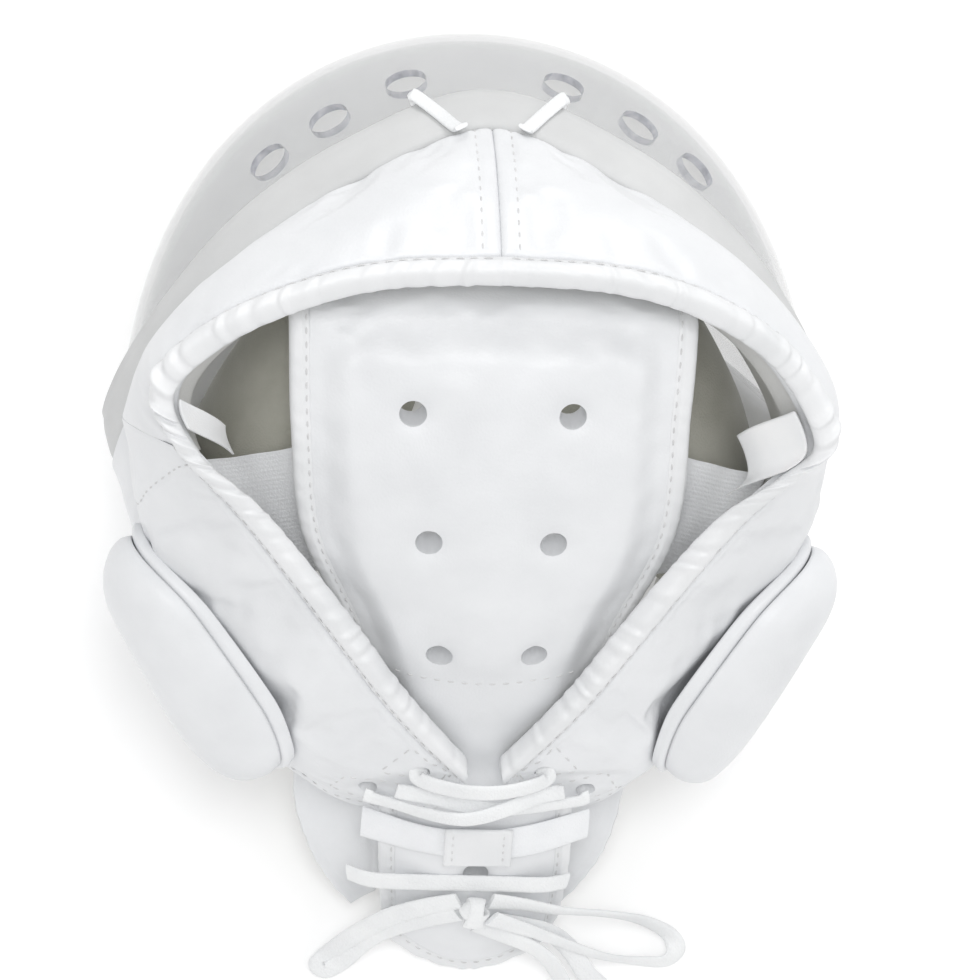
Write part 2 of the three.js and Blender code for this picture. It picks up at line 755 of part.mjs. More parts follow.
function crownPad() {
  const outer = gridOf(TONGUE_STEPS, TONGUE_COLUMNS, (t, w) => tonguePoint(t, 2 * w - 1));
  const inner = gridOf(TONGUE_STEPS, TONGUE_COLUMNS, (t, w) => {
    const c = 2 * w - 1;
    const half = tongueRow(t).half;
    const inset = Math.min(half * (1 - Math.abs(c)), TONGUE_LENGTH * t, TONGUE_LENGTH * (1 - t));
    const depth = mixed(TONGUE_MARGIN_THICKNESS, TONGUE_THICKNESS, smoothStep(inset / TONGUE_MARGIN));
    return tonguePoint(t, c, -depth);
  });
  const cutters = [];
  for (const hole of TONGUE_HOLES) {
    const sides = hole.across === 0 ? [0] : [-1, 1];
    for (const s of sides) {
      const { half, normal } = tongueRow(hole.along);
      const centre = tonguePoint(hole.along, (s * hole.across * TONGUE_HALF_WIDTH) / half);
      cutters.push(drill(centre, normal, TONGUE_HOLE_DIAMETER, 4 * TONGUE_THICKNESS, HOLE_SIDES));
    }
  }
  return cutAway(sheetBody(outer, inner), cutters);
}

// Binding round the crown pad's sides and foot.
function crownPadBinding() {
  const stations = [];
  const edgeStation = (t, side) => {
    const row = tongueRow(t);
    const edge = tonguePoint(t, side);
    const wide = tonguePoint(t, side).sub(tonguePoint(t, side * 0.9)).normalize();
    return { centre: moved(edge, wide, GAP), wide, thick: row.normal.clone().negate() };
  };
  for (let i = 0; i <= TONGUE_STEPS; i += 1) stations.push(edgeStation(i / TONGUE_STEPS, 1));
  const foot = tongueRow(1);
  const down = new THREE.Vector3().crossVectors(new THREE.Vector3(1, 0, 0), foot.normal).normalize();
  if (down.z > 0) down.negate();
  for (const c of [0.8, 0.55, 0.28, 0, -0.28, -0.55, -0.8]) {
    const wide = down.clone().add(place(0.9 * c ** 3, 0, 0)).normalize();
    stations.push({ centre: moved(tonguePoint(1, c), wide, GAP), wide, thick: foot.normal.clone().negate() });
  }
  for (let i = TONGUE_STEPS; i >= 0; i -= 1) stations.push(edgeStation(i / TONGUE_STEPS, -1));
  const low = -TONGUE_BINDING_PROUD;
  const high = low + TONGUE_BINDING_THICKNESS;
  return sweptBody(stations, cutRectangle(0, TONGUE_BINDING_WIDTH, low, high, TONGUE_BINDING_CORNER));
}

// Ear guard: a flat padded base and a smooth dome on it.
function earSurface(side, share, lift) {
  return (r, angle) => {
    const power = EAR_SQUARENESS;
    const length = (Math.abs(Math.cos(angle)) ** power + Math.abs(Math.sin(angle)) ** power) ** (1 / power);
    const out = (share * r) / length;
    const u = EAR_CENTRE.along + EAR_REACH.along * out * Math.cos(angle);
    const v = EAR_CENTRE.down + EAR_REACH.down * out * Math.sin(angle);
    return moved(sidePoint(side, u, v), sideOutward(side, u, v), lift(r));
  };
}

function earGuardBase(side) {
  const upper = earSurface(side, 1, () => EAR_SEAT + EAR_BASE_THICKNESS);
  const lower = earSurface(side, 1, () => EAR_SEAT);
  return discBody(upper, lower, EAR_STEPS.baseRings, EAR_STEPS.sectors);
}

function earGuardDome(side) {
  const seat = EAR_SEAT + GAP + EAR_BASE_THICKNESS;
  const swell = (r) => (1 - r ** 3.2) ** 0.7;
  const upper = earSurface(side, EAR_DOME_SHARE, (r) => seat + EAR_DOME_RIM + EAR_DOME_HEIGHT * swell(r));
  const lower = earSurface(side, EAR_DOME_SHARE, () => seat);
  return discBody(upper, lower, EAR_STEPS.rings, EAR_STEPS.sectors);
}

// A place on a side pad's inner face, with room for a piece that lies against it.
function underPad(side, u, v, clearance) {
  const outer = sidePoint(side, u, v);
  return moved(outer, inward(outer), padDepth([v, 1 - v, 1 - u]) + clearance);
}

// Webbing inside each gap, from under the crown pad's edge to the side pad's inner face.
// Shares along the crown pad, and along and down the side pad, of its four corners.
const ELASTIC_PLACE = { padFrom: 0.37, padTo: 0.5, sideFrom: 0.04, sideTo: 0.3, down: 0.2 };

function elasticBand(side) {
  const seat = ELASTIC_PLACE;
  const upper = gridOf(ELASTIC_STEPS.along, ELASTIC_STEPS.across, (along, across) => {
    const t = mixed(seat.padFrom, seat.padTo, along);
    const under = tonguePoint(t, side * 0.98, -TONGUE_BINDING_THICKNESS - GAP);
    const u = mixed(seat.sideFrom, seat.sideTo, along);
    const point = mix(under, underPad(side, u, seat.down, 2 * GAP), across);
    point.z -= 4 * ELASTIC_SAG * across * (1 - across);
    return point;
  });
  const lower = upper.map((line) => line.map((p) => p.clone().add(place(0, 0, -ELASTIC_THICKNESS))));
  return sheetBody(upper, lower);
}

function napeWing(side) {
  const pick = (row, part) => (
    shellPoint(side, { across: row[part], ahead: row[`${part}Ahead`], up: row[`${part}Up`] }, WING_LEAN));
  const edge = (part) => curveThrough([
    underPad(side, WING_SEAT[part], WING_SEAT.down, 6.5 * GAP),
    ...WING_ROWS.map((row) => pick(row, part)),
  ]);
  const outerEdge = edge('outer');
  const innerEdge = edge('inner');
  const between = (t, w) => mix(outerEdge.getPoint(t), innerEdge.getPoint(t), w);
  const upper = gridOf(WING_STEPS.along, WING_STEPS.across, between);
  const lower = upper.map((line) => line.map((p) => moved(p, inward(p), WING_THICKNESS)));
  return sheetBody(upper, lower);
}

// Tie over the frame beside the brow: a flat band from the shield to the forehead pad.
// around: degrees round the frame. over: share of its half width. lip: share of its lip.
const TIE_ROUTE = [
  { around: 77.5, over: -1.15, lip: 0.12 },
  { around: 77.7, over: -1.13, lip: 1.02 },
  { around: 78.2, over: -0.95, lip: 1.0 },
  { around: 79.7, over: 0, lip: 1.0 },
  { around: 81.3, over: 0.95, lip: 1.05 },
  { around: 81.8, over: 1.3, lip: 1.95 },
];

function foreheadTie(side) {
  const points = [];
  const thick = [];
  for (const row of TIE_ROUTE) {
    const station = frameStation(side > 0 ? row.around : 180 - row.around);
    const along = moved(station.centre, station.wide, (row.over * FRAME_WIDTH) / 2);
    points.push(moved(along, station.thick, row.lip * FRAME_LIP + GAP + TIE_THICKNESS / 2));
    thick.push(station.thick);
  }
  return bandBody(points, thick, TIE_WIDTH, TIE_THICKNESS, 2 * points.length);
}

// Nape strap across the crown pad, and the keeper patch that holds it in the middle.
function napeStrap() {
  const lift = TONGUE_BINDING_PROUD + 2 * GAP + NAPE_STRAP_THICKNESS / 2;
  const points = [];
  const thick = [];
  const row = tongueRow(STRAP_ALONG);
  const padHalf = row.half - TONGUE_BINDING_WIDTH - GAP;
  const drop = tongueSag(STRAP_ALONG) * row.half;
  for (let i = 0; i <= TONGUE_COLUMNS; i += 1) {
    const across = ((2 * i) / TONGUE_COLUMNS - 1) * (row.half + STRAP_OVERHANG);
    const c = Math.abs(across / padHalf);
    const point = row.middle.clone();
    point.x += across;
    points.push(moved(point, row.normal, lift - drop * (c < 1 ? c * c : 2 * c - 1)));
    thick.push(row.normal);
  }
  return bandBody(points, thick, NAPE_STRAP_WIDTH, NAPE_STRAP_THICKNESS, 2 * TONGUE_COLUMNS);
}

function keeperPatch() {
  const row = tongueRow(STRAP_ALONG);
  const low = TONGUE_BINDING_PROUD + 3 * GAP + NAPE_STRAP_THICKNESS;
  const down = new THREE.Vector3().crossVectors(new THREE.Vector3(1, 0, 0), row.normal);
  const face = (lift) => gridOf(2, 2, (a, b) => {
    const point = moved(row.middle, down, (b - 0.5) * KEEPER_HEIGHT);
    point.x += (a - 0.5) * KEEPER_WIDTH;
    return moved(point, row.normal, lift);
  });
  return sheetBody(face(low + KEEPER_THICKNESS), face(low));
}

// Lace: flat bands through the eyelets, then a bow on the crown pad's foot.
// A route's rows are millimetres to the wearer's left, ahead and up.
const LACE_ROUTES = {
  lace_run: [
    [33.3, -102.1, 39], [25.3, -104.9, 43], [9.3, -105.9, 47.5], [-4.7, -106.2, 49],
    [-18.7, -106.4, 48], [-28.7, -106.2, 45.5], [-35.7, -104.6, 42.5],
  ],
  bow_loop_left: [
    [-1.2, -111.6, 46.5], [9.3, -113.1, 41], [20.5, -115.9, 31.8], [30.2, -120.5, 17.9], [37.4, -125.4, 7.3],
    [40.5, -128.5, 5.2], [38, -130.5, 4.2], [32.5, -127.4, 6.5], [26.8, -122.6, 13.8], [19.6, -119.2, 24.4],
    [9.4, -116.8, 34.2], [-1.2, -115.1, 42],
  ],
  bow_loop_right: [
    [-11.2, -111.6, 46.5], [-21.7, -112.1, 42], [-34.6, -113.3, 33.4], [-48.4, -113.2, 23.6], [-62.2, -114.1, 13],
    [-72.1, -117.9, 7.3], [-75, -123, 5.2], [-71.5, -126.8, 4.4], [-63, -126.9, 5.6], [-50.2, -126.1, 13.4],
    [-36.4, -122.7, 23.6], [-24.6, -119.8, 34.2], [-11.7, -116.9, 44.5],
  ],
  bow_tail_long: [
    [-7.7, -118.2, 37.5], [-16.5, -120.9, 31], [-25.9, -123.8, 22.8], [-32.4, -127.2, 14.6], [-37, -132.4, 8.1],
    [-41, -140, 3.4],
  ],
  bow_tail_short: [
    [-13.6, -116.4, 33.6], [-22, -117.4, 28.6], [-32.6, -119.6, 22.6], [-40.4, -124.6, 13], [-45.8, -131.4, 5],
    [-50.5, -135, 3.2],
  ],
};
const KNOT_PLACE = { across: -6.2, ahead: -115.3, up: 45.2 };
const KNOT_SIZE = { wide: 7.2, deep: 6, tall: 9 };
const KNOT_TILT = -0.7;
const LACE_FACING = place(0, -0.75, 0.66);

function laceBand(name) {
  const points = LACE_ROUTES[name].map(([across, ahead, up]) => place(across, ahead, up));
  return bandBody(points, points.map(() => LACE_FACING), LACE_WIDTH, LACE_THICKNESS, 2 * points.length);
}

function bowKnot() {
  const knot = new THREE.SphereGeometry(0.5, 12, 8);
  knot.scale(KNOT_SIZE.wide, KNOT_SIZE.deep, KNOT_SIZE.tall);
  knot.rotateX(KNOT_TILT);
  const middle = place(KNOT_PLACE.across, KNOT_PLACE.ahead, KNOT_PLACE.up);
  knot.translate(middle.x, middle.y, middle.z);
  return knot;
}

// The fixed lacing between the eyelets. Its distances are millimetres off the pads' faces.
const BAR_WIDTH = 5.2;
const BAR_ENDS = { inside: -3, rim: 2.2, outside: 4.5 };
const BAR_MIDDLE = { ahead: -5.5, up: 1 };
const CROSS_WIDTH = 4.9;
const CROSS_ENDS = { rim: 1.6, outside: 4.2, landing: 3.5, tip: 2.4, lead: 7, turn: 2.5 };
const CROSS_END = { along: 0.93, down: 0.31 };
const CROSS_LOWER = { ahead: -3.5, up: 2.5 };
const CROSS_UPPER = { ahead: -7.1, up: 5.8 };

// A place on a side pad, off its outer face by the given distance.
function offPad(side, spot, off) {
  return moved(sidePoint(side, spot.along, spot.down), sideOutward(side, spot.along, spot.down), off);
}

// Top bar of the lacing, from eyelet to eyelet over the point of the crown opening.
function laceBar() {
  const gapMiddle = mix(crownEdge(1).getPoint(1), crownEdge(-1).getPoint(1), 0.5);
  const middle = gapMiddle.add(place(0, BAR_MIDDLE.ahead, BAR_MIDDLE.up));
  const half = (side) => [
    offPad(side, EYELETS[0], BAR_ENDS.inside),
    offPad(side, EYELETS[0], BAR_ENDS.rim),
    mix(offPad(side, EYELETS[0], BAR_ENDS.outside), middle, 0.5),
  ];
  const points = [...half(1), middle, ...half(-1).reverse()];
  const facing = points.map(() => LACE_FACING);
  return bandBody(points, facing, BAR_WIDTH, LACE_THICKNESS, 3 * (points.length - 1));
}

// A crossing of the lacing, from one side's lower eyelet to the face of the other side's pad.
function laceCross(side, bend) {
  const rim = offPad(side, EYELETS[1], CROSS_ENDS.rim);
  const tip = offPad(-side, CROSS_END, CROSS_ENDS.tip).add(place(-side * CROSS_ENDS.turn, 0, 0));
  const start = towards(offPad(side, EYELETS[1], CROSS_ENDS.outside), tip, CROSS_ENDS.lead);
  const over = offPad(-side, CROSS_END, CROSS_ENDS.landing);
  const landing = towards(over, rim, CROSS_ENDS.lead - CROSS_ENDS.turn);
  const middle = mix(start, landing, 0.5).add(place(0, bend.ahead, bend.up));
  const points = [rim, start, middle, landing, tip];
  const facing = points.map(() => LACE_FACING);
  return bandBody(points, facing, CROSS_WIDTH, LACE_THICKNESS, 4 * (points.length - 1));
}

// Small label sewn under the binding at a temple, hanging inside the gap. It is blank.
// from and to: shares of the edge from the forehead's centre to the temple.
const LABEL_PLACES = { left: { from: 0.8, to: 0.9 }, right: { from: 0.7, to: 0.94 } };
const LABEL_HANG = { across: 14, ahead: 3, down: 22 };

function label(side, seat) {
  const hang = place(-side * LABEL_HANG.across, -LABEL_HANG.ahead, -LABEL_HANG.down);
  const behind = place(side * LABEL_HANG.down, 0, -LABEL_HANG.across).normalize();
  const face = gridOf(3, 2, (a, b) => {
    const edge = crownEdge(side).getPoint((mixed(seat.from, seat.to, a) * TEMPLE_ROW) / CROWN_SPANS);
    const top = moved(edge, inward(edge), BINDING_THICKNESS + LABEL_THICKNESS + 5 * GAP);
    return moved(top, hang, b);
  });
  const back = face.map((line) => line.map((p) => moved(p, behind, LABEL_THICKNESS)));
  return sheetBody(face, back);
}

function named(name, geometry, look) {
  const mesh = new THREE.Mesh(geometry, new THREE.MeshStandardMaterial({ metalness: 0, ...look }));
  mesh.name = name;
  return mesh;
}

const body = new THREE.Group();
const sides = [{ side: 1, word: 'left' }, { side: -1, word: 'right' }];
const clear = { color: 0xdfe3e6, roughness: 0.08, transparent: true, opacity: 0.35 };
body.add(named('face_shield', faceShield(), clear));
body.add(named('face_frame', faceFrame(), { color: 0xe6e6e3, roughness: 0.7 }));
body.add(named('chin_pad', chinPad(), LEATHER));
body.add(named('crown_pad', crownPad(), LEATHER));
body.add(named('crown_pad_binding', crownPadBinding(), LEATHER));
body.add(named('keeper_patch', keeperPatch(), LEATHER));
body.add(named('nape_strap', napeStrap(), WEBBING));
body.add(named('lace_bar', laceBar(), WEBBING));
for (const { side, word } of sides) {
  body.add(named(`forehead_pad_${word}`, foreheadPad(side), LEATHER));
  body.add(named(`side_pad_${word}`, sidePad(side), LEATHER));
  body.add(named(`crown_binding_${word}`, crownBinding(side), LEATHER));
  body.add(named(`ear_guard_base_${word}`, earGuardBase(side), LEATHER));
  body.add(named(`ear_guard_dome_${word}`, earGuardDome(side), LEATHER));
  body.add(named(`elastic_band_${word}`, elasticBand(side), WEBBING));
  body.add(named(`nape_wing_${word}`, napeWing(side), LEATHER));
  body.add(named(`forehead_tie_${word}`, foreheadTie(side), WEBBING));
  body.add(named(`lace_cross_${word}`, laceCross(side, side > 0 ? CROSS_UPPER : CROSS_LOWER), WEBBING));
  body.add(named(`label_${word}`, label(side, LABEL_PLACES[word]), WEBBING));
}

const bow = new THREE.Group();
for (const name of Object.keys(LACE_ROUTES)) {
  bow.add(named(name, laceBand(name), WEBBING));
}
bow.add(named('bow_knot', bowKnot(), WEBBING));

// The origin is under the middle of the headgear without its loose lace, on the surface.
const extent = new THREE.Box3().setFromObject(body);
const headgear = new THREE.Group();
headgear.add(body, bow);
headgear.position.set(
  -(extent.min.x + extent.max.x) / 2,
  -(extent.min.y + extent.max.y) / 2,
  -extent.min.z,
);

export default headgear;
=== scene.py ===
"""White sparring headgear with a clear face shield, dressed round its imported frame."""
import math

import bmesh
import bpy
import numpy as np
from mathutils import Matrix, Vector, noise


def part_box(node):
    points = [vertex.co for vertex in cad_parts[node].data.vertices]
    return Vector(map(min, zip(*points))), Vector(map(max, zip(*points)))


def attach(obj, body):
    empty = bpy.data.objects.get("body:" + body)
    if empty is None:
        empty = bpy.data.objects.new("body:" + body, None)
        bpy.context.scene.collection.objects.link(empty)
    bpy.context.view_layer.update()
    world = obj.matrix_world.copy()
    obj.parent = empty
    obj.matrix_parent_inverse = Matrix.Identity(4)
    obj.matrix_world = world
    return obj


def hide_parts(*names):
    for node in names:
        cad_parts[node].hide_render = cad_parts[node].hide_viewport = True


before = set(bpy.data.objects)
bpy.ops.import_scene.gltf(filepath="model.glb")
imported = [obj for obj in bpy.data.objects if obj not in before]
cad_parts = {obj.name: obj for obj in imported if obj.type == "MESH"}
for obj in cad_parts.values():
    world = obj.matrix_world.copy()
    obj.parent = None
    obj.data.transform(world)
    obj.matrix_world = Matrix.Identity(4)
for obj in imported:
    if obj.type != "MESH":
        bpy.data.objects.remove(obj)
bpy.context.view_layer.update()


MM = 0.001
ROOT = "root"
SIDES = {"left": 1, "right": -1}

# Camera: the photograph's view, from behind and nearly straight above
EYE_DIRECTION = (0.08584, 0.17301, 0.98117)
IMAGE_RIGHT = (-0.99619, 0.0, 0.08716)
EYE_DISTANCE = 1.3
LENS = 156.6
SENSOR = 36.0
TARGET_PIXEL = (470, 520)
IMAGE_SIZE = 980
AIM_UP = 0.1

# Floor and light, in metres and watts. Each light is a name, a place, a size and a power.
FLOOR_SIZE = 6
FLOOR_DROP = 0.0004
FLOOR_WHITE = 0.93
FLOOR_ROUGHNESS = 0.9
FLOOR_GLOW = 0.14
WORLD_STRENGTH = 0.55
LIGHT_AIM = (0, 0, 0.08)
LIGHTS = [
    ("top", (0.1, 0.15, 2.1), 0.7, 12),
    ("key", (-0.25, -1.45, 1.35), 0.9, 10),
    ("fill", (0.9, 0.9, 1.5), 1.4, 4),
    ("rear", (-1.2, 0.5, 1.5), 1.2, 5),
]

# Leather shell, in millimetres, as in the solids
SHELL_HALF_WIDTH = 112
FACE_REACH = 106
NAPE_REACH = 126
CROWN_HEIGHT = 208
PAD_THICKNESS = 18
PAD_EDGE_THICKNESS = 9
FOREHEAD_BULGE = 4
BACK_LEAN = 7.2
BINDING_WIDTH = 7
BINDING_THICKNESS = 8.5
BINDING_PROUD = 1
EYELET_DIAMETER = 8
GAP = 0.35
CORE_UP = 0.48 * CROWN_HEIGHT
CORE_FOLLOW = 0.6
EDGE_EASE = 0.25
LEAN_START = 0.15
COLUMN_LEANS = (0, 0, 0.3, 0.7, 1)
WING_LEAN = 0.4
TEMPLE_ROW = 5
TEMPLE_TURN = 16
JAW_TURN = -40

# Shield, frame and chin pad
SHIELD_HALF_WIDTH = 99.5
SHIELD_REACH = 99
SHIELD_HALF_HEIGHT = 96
SHIELD_CENTRE_AHEAD = 55
SHIELD_CENTRE_UP = 86
SHIELD_THICKNESS = 2.4
VENT_DIAMETER = 12.5
VENT_INSET = 29
VENT_TURNS = (70.6, 55, 43.7)
FRAME_WIDTH = 18
FRAME_LIP = 3
FRAME_DEPTH = 12
PAD_PROUD = 3.4
CHIN_PAD_HEIGHT = 40
CHIN_PAD_THICKNESS = 16
CHIN_SEAT = 1.1
CHIN_TURN = -52

# Crown pad
TONGUE_HALF_WIDTH = 59.5
TONGUE_THICKNESS = 11
TONGUE_BINDING_WIDTH = 6.5
TONGUE_BINDING_THICKNESS = 7.5
TONGUE_BINDING_PROUD = 0.8
TONGUE_HOLE_DIAMETER = 8
TONGUE_FOOT_ROUND = 0.06
TONGUE_SAG_CROWN = 0.05
TONGUE_SAG_NAPE = 0.2
TONGUE_SAG_START = 0.3
TONGUE_SAG_RUN = 0.35

# Ear guards, webbing, straps and lace
EAR_BASE_THICKNESS = 5
EAR_SEAT = 1.08
EAR_DOME_HEIGHT = 17
EAR_DOME_RIM = 2
EAR_DOME_SHARE = 0.93
EAR_DOME_COVER = 0.05
EAR_SQUARENESS = 2.6
EAR_SECTORS = 168
WING_THICKNESS = 8
ELASTIC_THICKNESS = 1.6
ELASTIC_SAG = 4
NAPE_STRAP_WIDTH = 11
NAPE_STRAP_THICKNESS = 1.4
STRAP_ALONG = 0.727
STRAP_OVERHANG = 4
KEEPER_WIDTH = 21
KEEPER_HEIGHT = 14
TIE_WIDTH = 4.2
TIE_THICKNESS = 1.4
LACE_WIDTH = 6.5
LACE_THICKNESS = 1.6

# Degrees round the frame, degrees it opens from straight ahead, and how far its rim flares
FRAME_TURNS = np.array([
    (-90, 54, -0.03), (-58, 68, 0.01), (-36, 87, 0.05), (-18, 100, 0.1), (0, 104, 0.12),
    (16, 100, 0.1), (31, 91, 0.06), (45, 79, 0.02), (63, 67, 0.0), (90, 56, 0.0),
], float)

# Shares across, ahead and up of the crown opening's edge, from the forehead to the lacing
CROWN_EDGES = {
    1: [
        (0.0, 0.49, 1.0), (0.31, 0.475, 0.995), (0.55, 0.415, 0.981), (0.75, 0.325, 0.947),
        (0.875, 0.2, 0.904), (0.8, 0.04, 0.868), (0.643, -0.071, 0.798), (0.5, -0.198, 0.721),
        (0.357, -0.341, 0.644), (0.223, -0.468, 0.563), (0.045, -0.619, 0.471),
    ],
    -1: [
        (0.0, 0.49, 1.0), (0.31, 0.475, 0.995), (0.55, 0.415, 0.981), (0.76, 0.29, 0.947),
        (0.875, 0.09, 0.904), (0.78, 0.0, 0.868), (0.643, -0.071, 0.798), (0.5, -0.198, 0.721),
        (0.357, -0.341, 0.644), (0.223, -0.468, 0.563), (0.045, -0.619, 0.471),
    ],
}

# Columns of the side pad, front to back, each from below the crown edge down to the foot
SIDE_COLUMNS = [
    [(0.85, -0.085, 0.615), (0.84, -0.075, 0.457), (0.86, 0.04, 0.24), (0.75, 0.226, 0.005)],
    [(0.695, -0.25, 0.577), (0.7, -0.25, 0.423), (0.7, -0.19, 0.24), (0.67, -0.08, 0.03)],
    [(0.53, -0.43, 0.51), (0.57, -0.44, 0.375), (0.6, -0.38, 0.24), (0.6, -0.31, 0.115)],
    [(0.39, -0.56, 0.45), (0.45, -0.585, 0.37), (0.48, -0.57, 0.29), (0.49, -0.56, 0.245)],
    [(0.07, -0.65, 0.415), (0.11, -0.685, 0.355), (0.155, -0.695, 0.274), (0.2, -0.71, 0.212)],
]

# Crown pad's rows: share ahead, share up, share of its half width
TONGUE_ROWS = [
    (0.585, 0.827, 1.0), (0.49, 0.877, 1.0), (0.38, 0.894, 1.0), (0.15, 0.837, 0.985),
    (-0.135, 0.719, 0.94), (-0.365, 0.572, 0.7), (-0.635, 0.362, 0.54), (-0.825, 0.245, 0.53),
    (-0.952, 0.12, 0.51), (-1.01, 0.04, 0.48),
]
TONGUE_HOLES = [(0.325, 0.44), (0.438, 0.35), (0.55, 0.285), (0.778, 0.0)]

# Nape wing's rows below its seat: outer across, ahead and up, then inner
WING_ROWS = [
    ((0.48, -0.6, 0.165), (0.23, -0.6, 0.215)), ((0.44, -0.73, 0.13), (0.2, -0.72, 0.155)),
    ((0.37, -0.825, 0.09), (0.2, -0.81, 0.085)), ((0.3, -0.885, 0.055), (0.22, -0.84, 0.045)),
]
WING_SEAT = (0.74, 0.88, 0.95)
EAR_CENTRE = (0.455, 0.48)
EAR_REACH = (0.3, 0.235)
EYELETS = [(0.93, 0.15), (0.895, 0.5)]
ELASTIC_PLACE = {"pad": (0.37, 0.5), "side": (0.04, 0.3), "down": 0.2}

# Lace routes, in millimetres to the wearer's left, ahead and up, before the shift to the origin
LACE_ROUTES = {
    "lace_run": [
        (33.3, -102.1, 39), (25.3, -104.9, 43), (9.3, -105.9, 47.5), (-4.7, -106.2, 49),
        (-18.7, -106.4, 48), (-28.7, -106.2, 45.5), (-35.7, -104.6, 42.5),
    ],
    "bow_loop_left": [
        (-1.2, -111.6, 46.5), (9.3, -113.1, 41), (20.5, -115.9, 31.8), (30.2, -120.5, 17.9),
        (37.4, -125.4, 7.3), (40.5, -128.5, 5.2), (38, -130.5, 4.2), (32.5, -127.4, 6.5),
        (26.8, -122.6, 13.8), (19.6, -119.2, 24.4), (9.4, -116.8, 34.2), (-1.2, -115.1, 42),
    ],
    "bow_loop_right": [
        (-11.2, -111.6, 46.5), (-21.7, -112.1, 42), (-34.6, -113.3, 33.4), (-48.4, -113.2, 23.6),
        (-62.2, -114.1, 13), (-72.1, -117.9, 7.3), (-75, -123, 5.2), (-71.5, -126.8, 4.4),
        (-63, -126.9, 5.6), (-50.2, -126.1, 13.4), (-36.4, -122.7, 23.6), (-24.6, -119.8, 34.2),
        (-11.7, -116.9, 44.5),
    ],
    "bow_tail_long": [
        (-7.7, -118.2, 37.5), (-16.5, -120.9, 31), (-25.9, -123.8, 22.8), (-32.4, -127.2, 14.6),
        (-37, -132.4, 8.1), (-41, -140, 3.4),
    ],
    "bow_tail_short": [
        (-13.6, -116.4, 33.6), (-22, -117.4, 28.6), (-32.6, -119.6, 22.6), (-40.4, -124.6, 13),
        (-45.8, -131.4, 7), (-50.5, -135, 3.2),
    ],
}
LACE_STEPS = 8

# Stitch lines, in millimetres from the edge that each one follows
FOREHEAD_STITCH = 5.3
LACING_STITCH = 4.5
FOOT_STITCH = 5.0
BINDING_STITCH = 5.4
TONGUE_BINDING_STITCH = 1.3
KEEPER_STITCH = 2.6
STITCH_PITCH = 4.0
STITCH_RINGS = 7
EYELET_BOX = (8, 13)
EYELET_BOX_STEPS = 12

# Radius and share of each padded edge's fall: first row, last row, crown and foot
FOREHEAD_ROLLS = ((1.6, 0.45), (1.5, 0.15), (2.6, 0.8), (4.0, 0.7))
SIDE_ROLLS = ((1.5, 0.15), (3.6, 0.8), (2.6, 0.8), (4.5, 0.8))
PANEL_SHARES = (0.12, 0.32, 0.6, 0.85)
PANEL_BOWS = (0.9, 1.3, 1.2, 0.6)
HAIRLINE = 0.05

# Rows and columns of the leather's fine grids, and stations of the bindings
FINE_FOREHEAD = (150, 84)
FINE_SIDE = (190, 120)
FINE_TONGUE = (260, 110)
BINDING_STATIONS = 520
TONGUE_BINDING_STATIONS = 760

# Cloth simulation: frames, the cloth itself, and each panel's coarse grid, pressure, cap and shrink
SIM_FRAMES = 20
CLOTH = {
    "quality": 5, "mass": 0.15, "tension_stiffness": 12, "compression_stiffness": 12,
    "bending_stiffness": 0.6,
}
SIM_PANELS = {
    "forehead": ((30, 17), 0.8, 2.0, -0.006),
    "side": ((38, 24), 0.9, 3.0, -0.016),
    "tongue": ((52, 22), 0.5, 1.6, -0.015),
}

# Gathers at the temples, and the temple seams: millimetres from the solids' seam, and their slant
SETTLE_RUN = 26
CORNER_AT = 0.47
CORNER_RUN = 20
CORNER_GATHER = {1: 0.9, -1: 0.35}
TEMPLE_SEAM = {1: (6.3, 0.5), -1: (2.5, 0.0)}

# Crown pad's dressing
SEAM_ALONG = 0.572
PANEL_RISE = 3.0
TONGUE_SETTLE = 0.4
TONGUE_TUCK = 1.012
HOLE_HALF = 4.0

# Fixed lacing and the ties, as in the solids
CROSS_END = (0.93, 0.31)
CROSS_RIM = 1.6
CROSS_OUTSIDE = 4.2
CROSS_LANDING = 3.5
CROSS_TIP = 2.4
CROSS_LEAD = 7
CROSS_TURN = 2.5
CROSS_BENDS = {1: (-7.1, 5.8), -1: (-3.5, 2.5)}
TIE_ROUTE = [
    (77.5, -1.15, 0.12), (77.7, -1.13, 1.02), (78.2, -0.95, 1.0), (79.7, 0, 1.0),
    (81.3, 0.95, 1.05), (81.8, 1.3, 1.95),
]
KEEPER_THICKNESS = 1.4
CHEEK_TURNS = (40, -62)
CHEEK_BACK = (-2, 46)
CHEEK_DEPTH = (19, 46)
RIB_PITCH = 1.5
LABEL_THICKNESS = 0.8
LABEL_PLACES = {1: (0.8, 0.9), -1: (0.7, 0.94)}
LABEL_HANG = (14, 3, 22)

KNOT_PLACE = (-6.2, -115.3, 45.2)
LACE_FACING = (0, 0.75, 0.66)

# The solids' origin lies under the middle of their box, so the plan's places shift onto it.
SHIFT = np.array([
    0.0,
    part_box("face_shield")[0][1] / MM + SHIELD_CENTRE_AHEAD + SHIELD_REACH,
    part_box("chin_pad")[0][2] / MM,
])


# Small helpers on arrays of points, all in millimetres

def place(across, ahead, up):
    return np.array([across, -ahead, up], float)


def unit(vectors):
    return vectors / np.maximum(np.linalg.norm(vectors, axis=-1, keepdims=True), 1e-9)


def smooth_step(value):
    t = np.clip(value, 0, 1)
    return t * t * (3 - 2 * t)


def bell(value, width):
    return np.exp(-((value / width) ** 2))


def mixed(a, b, share):
    return a + (b - a) * share


def even(count):
    return np.linspace(0, 1, count)


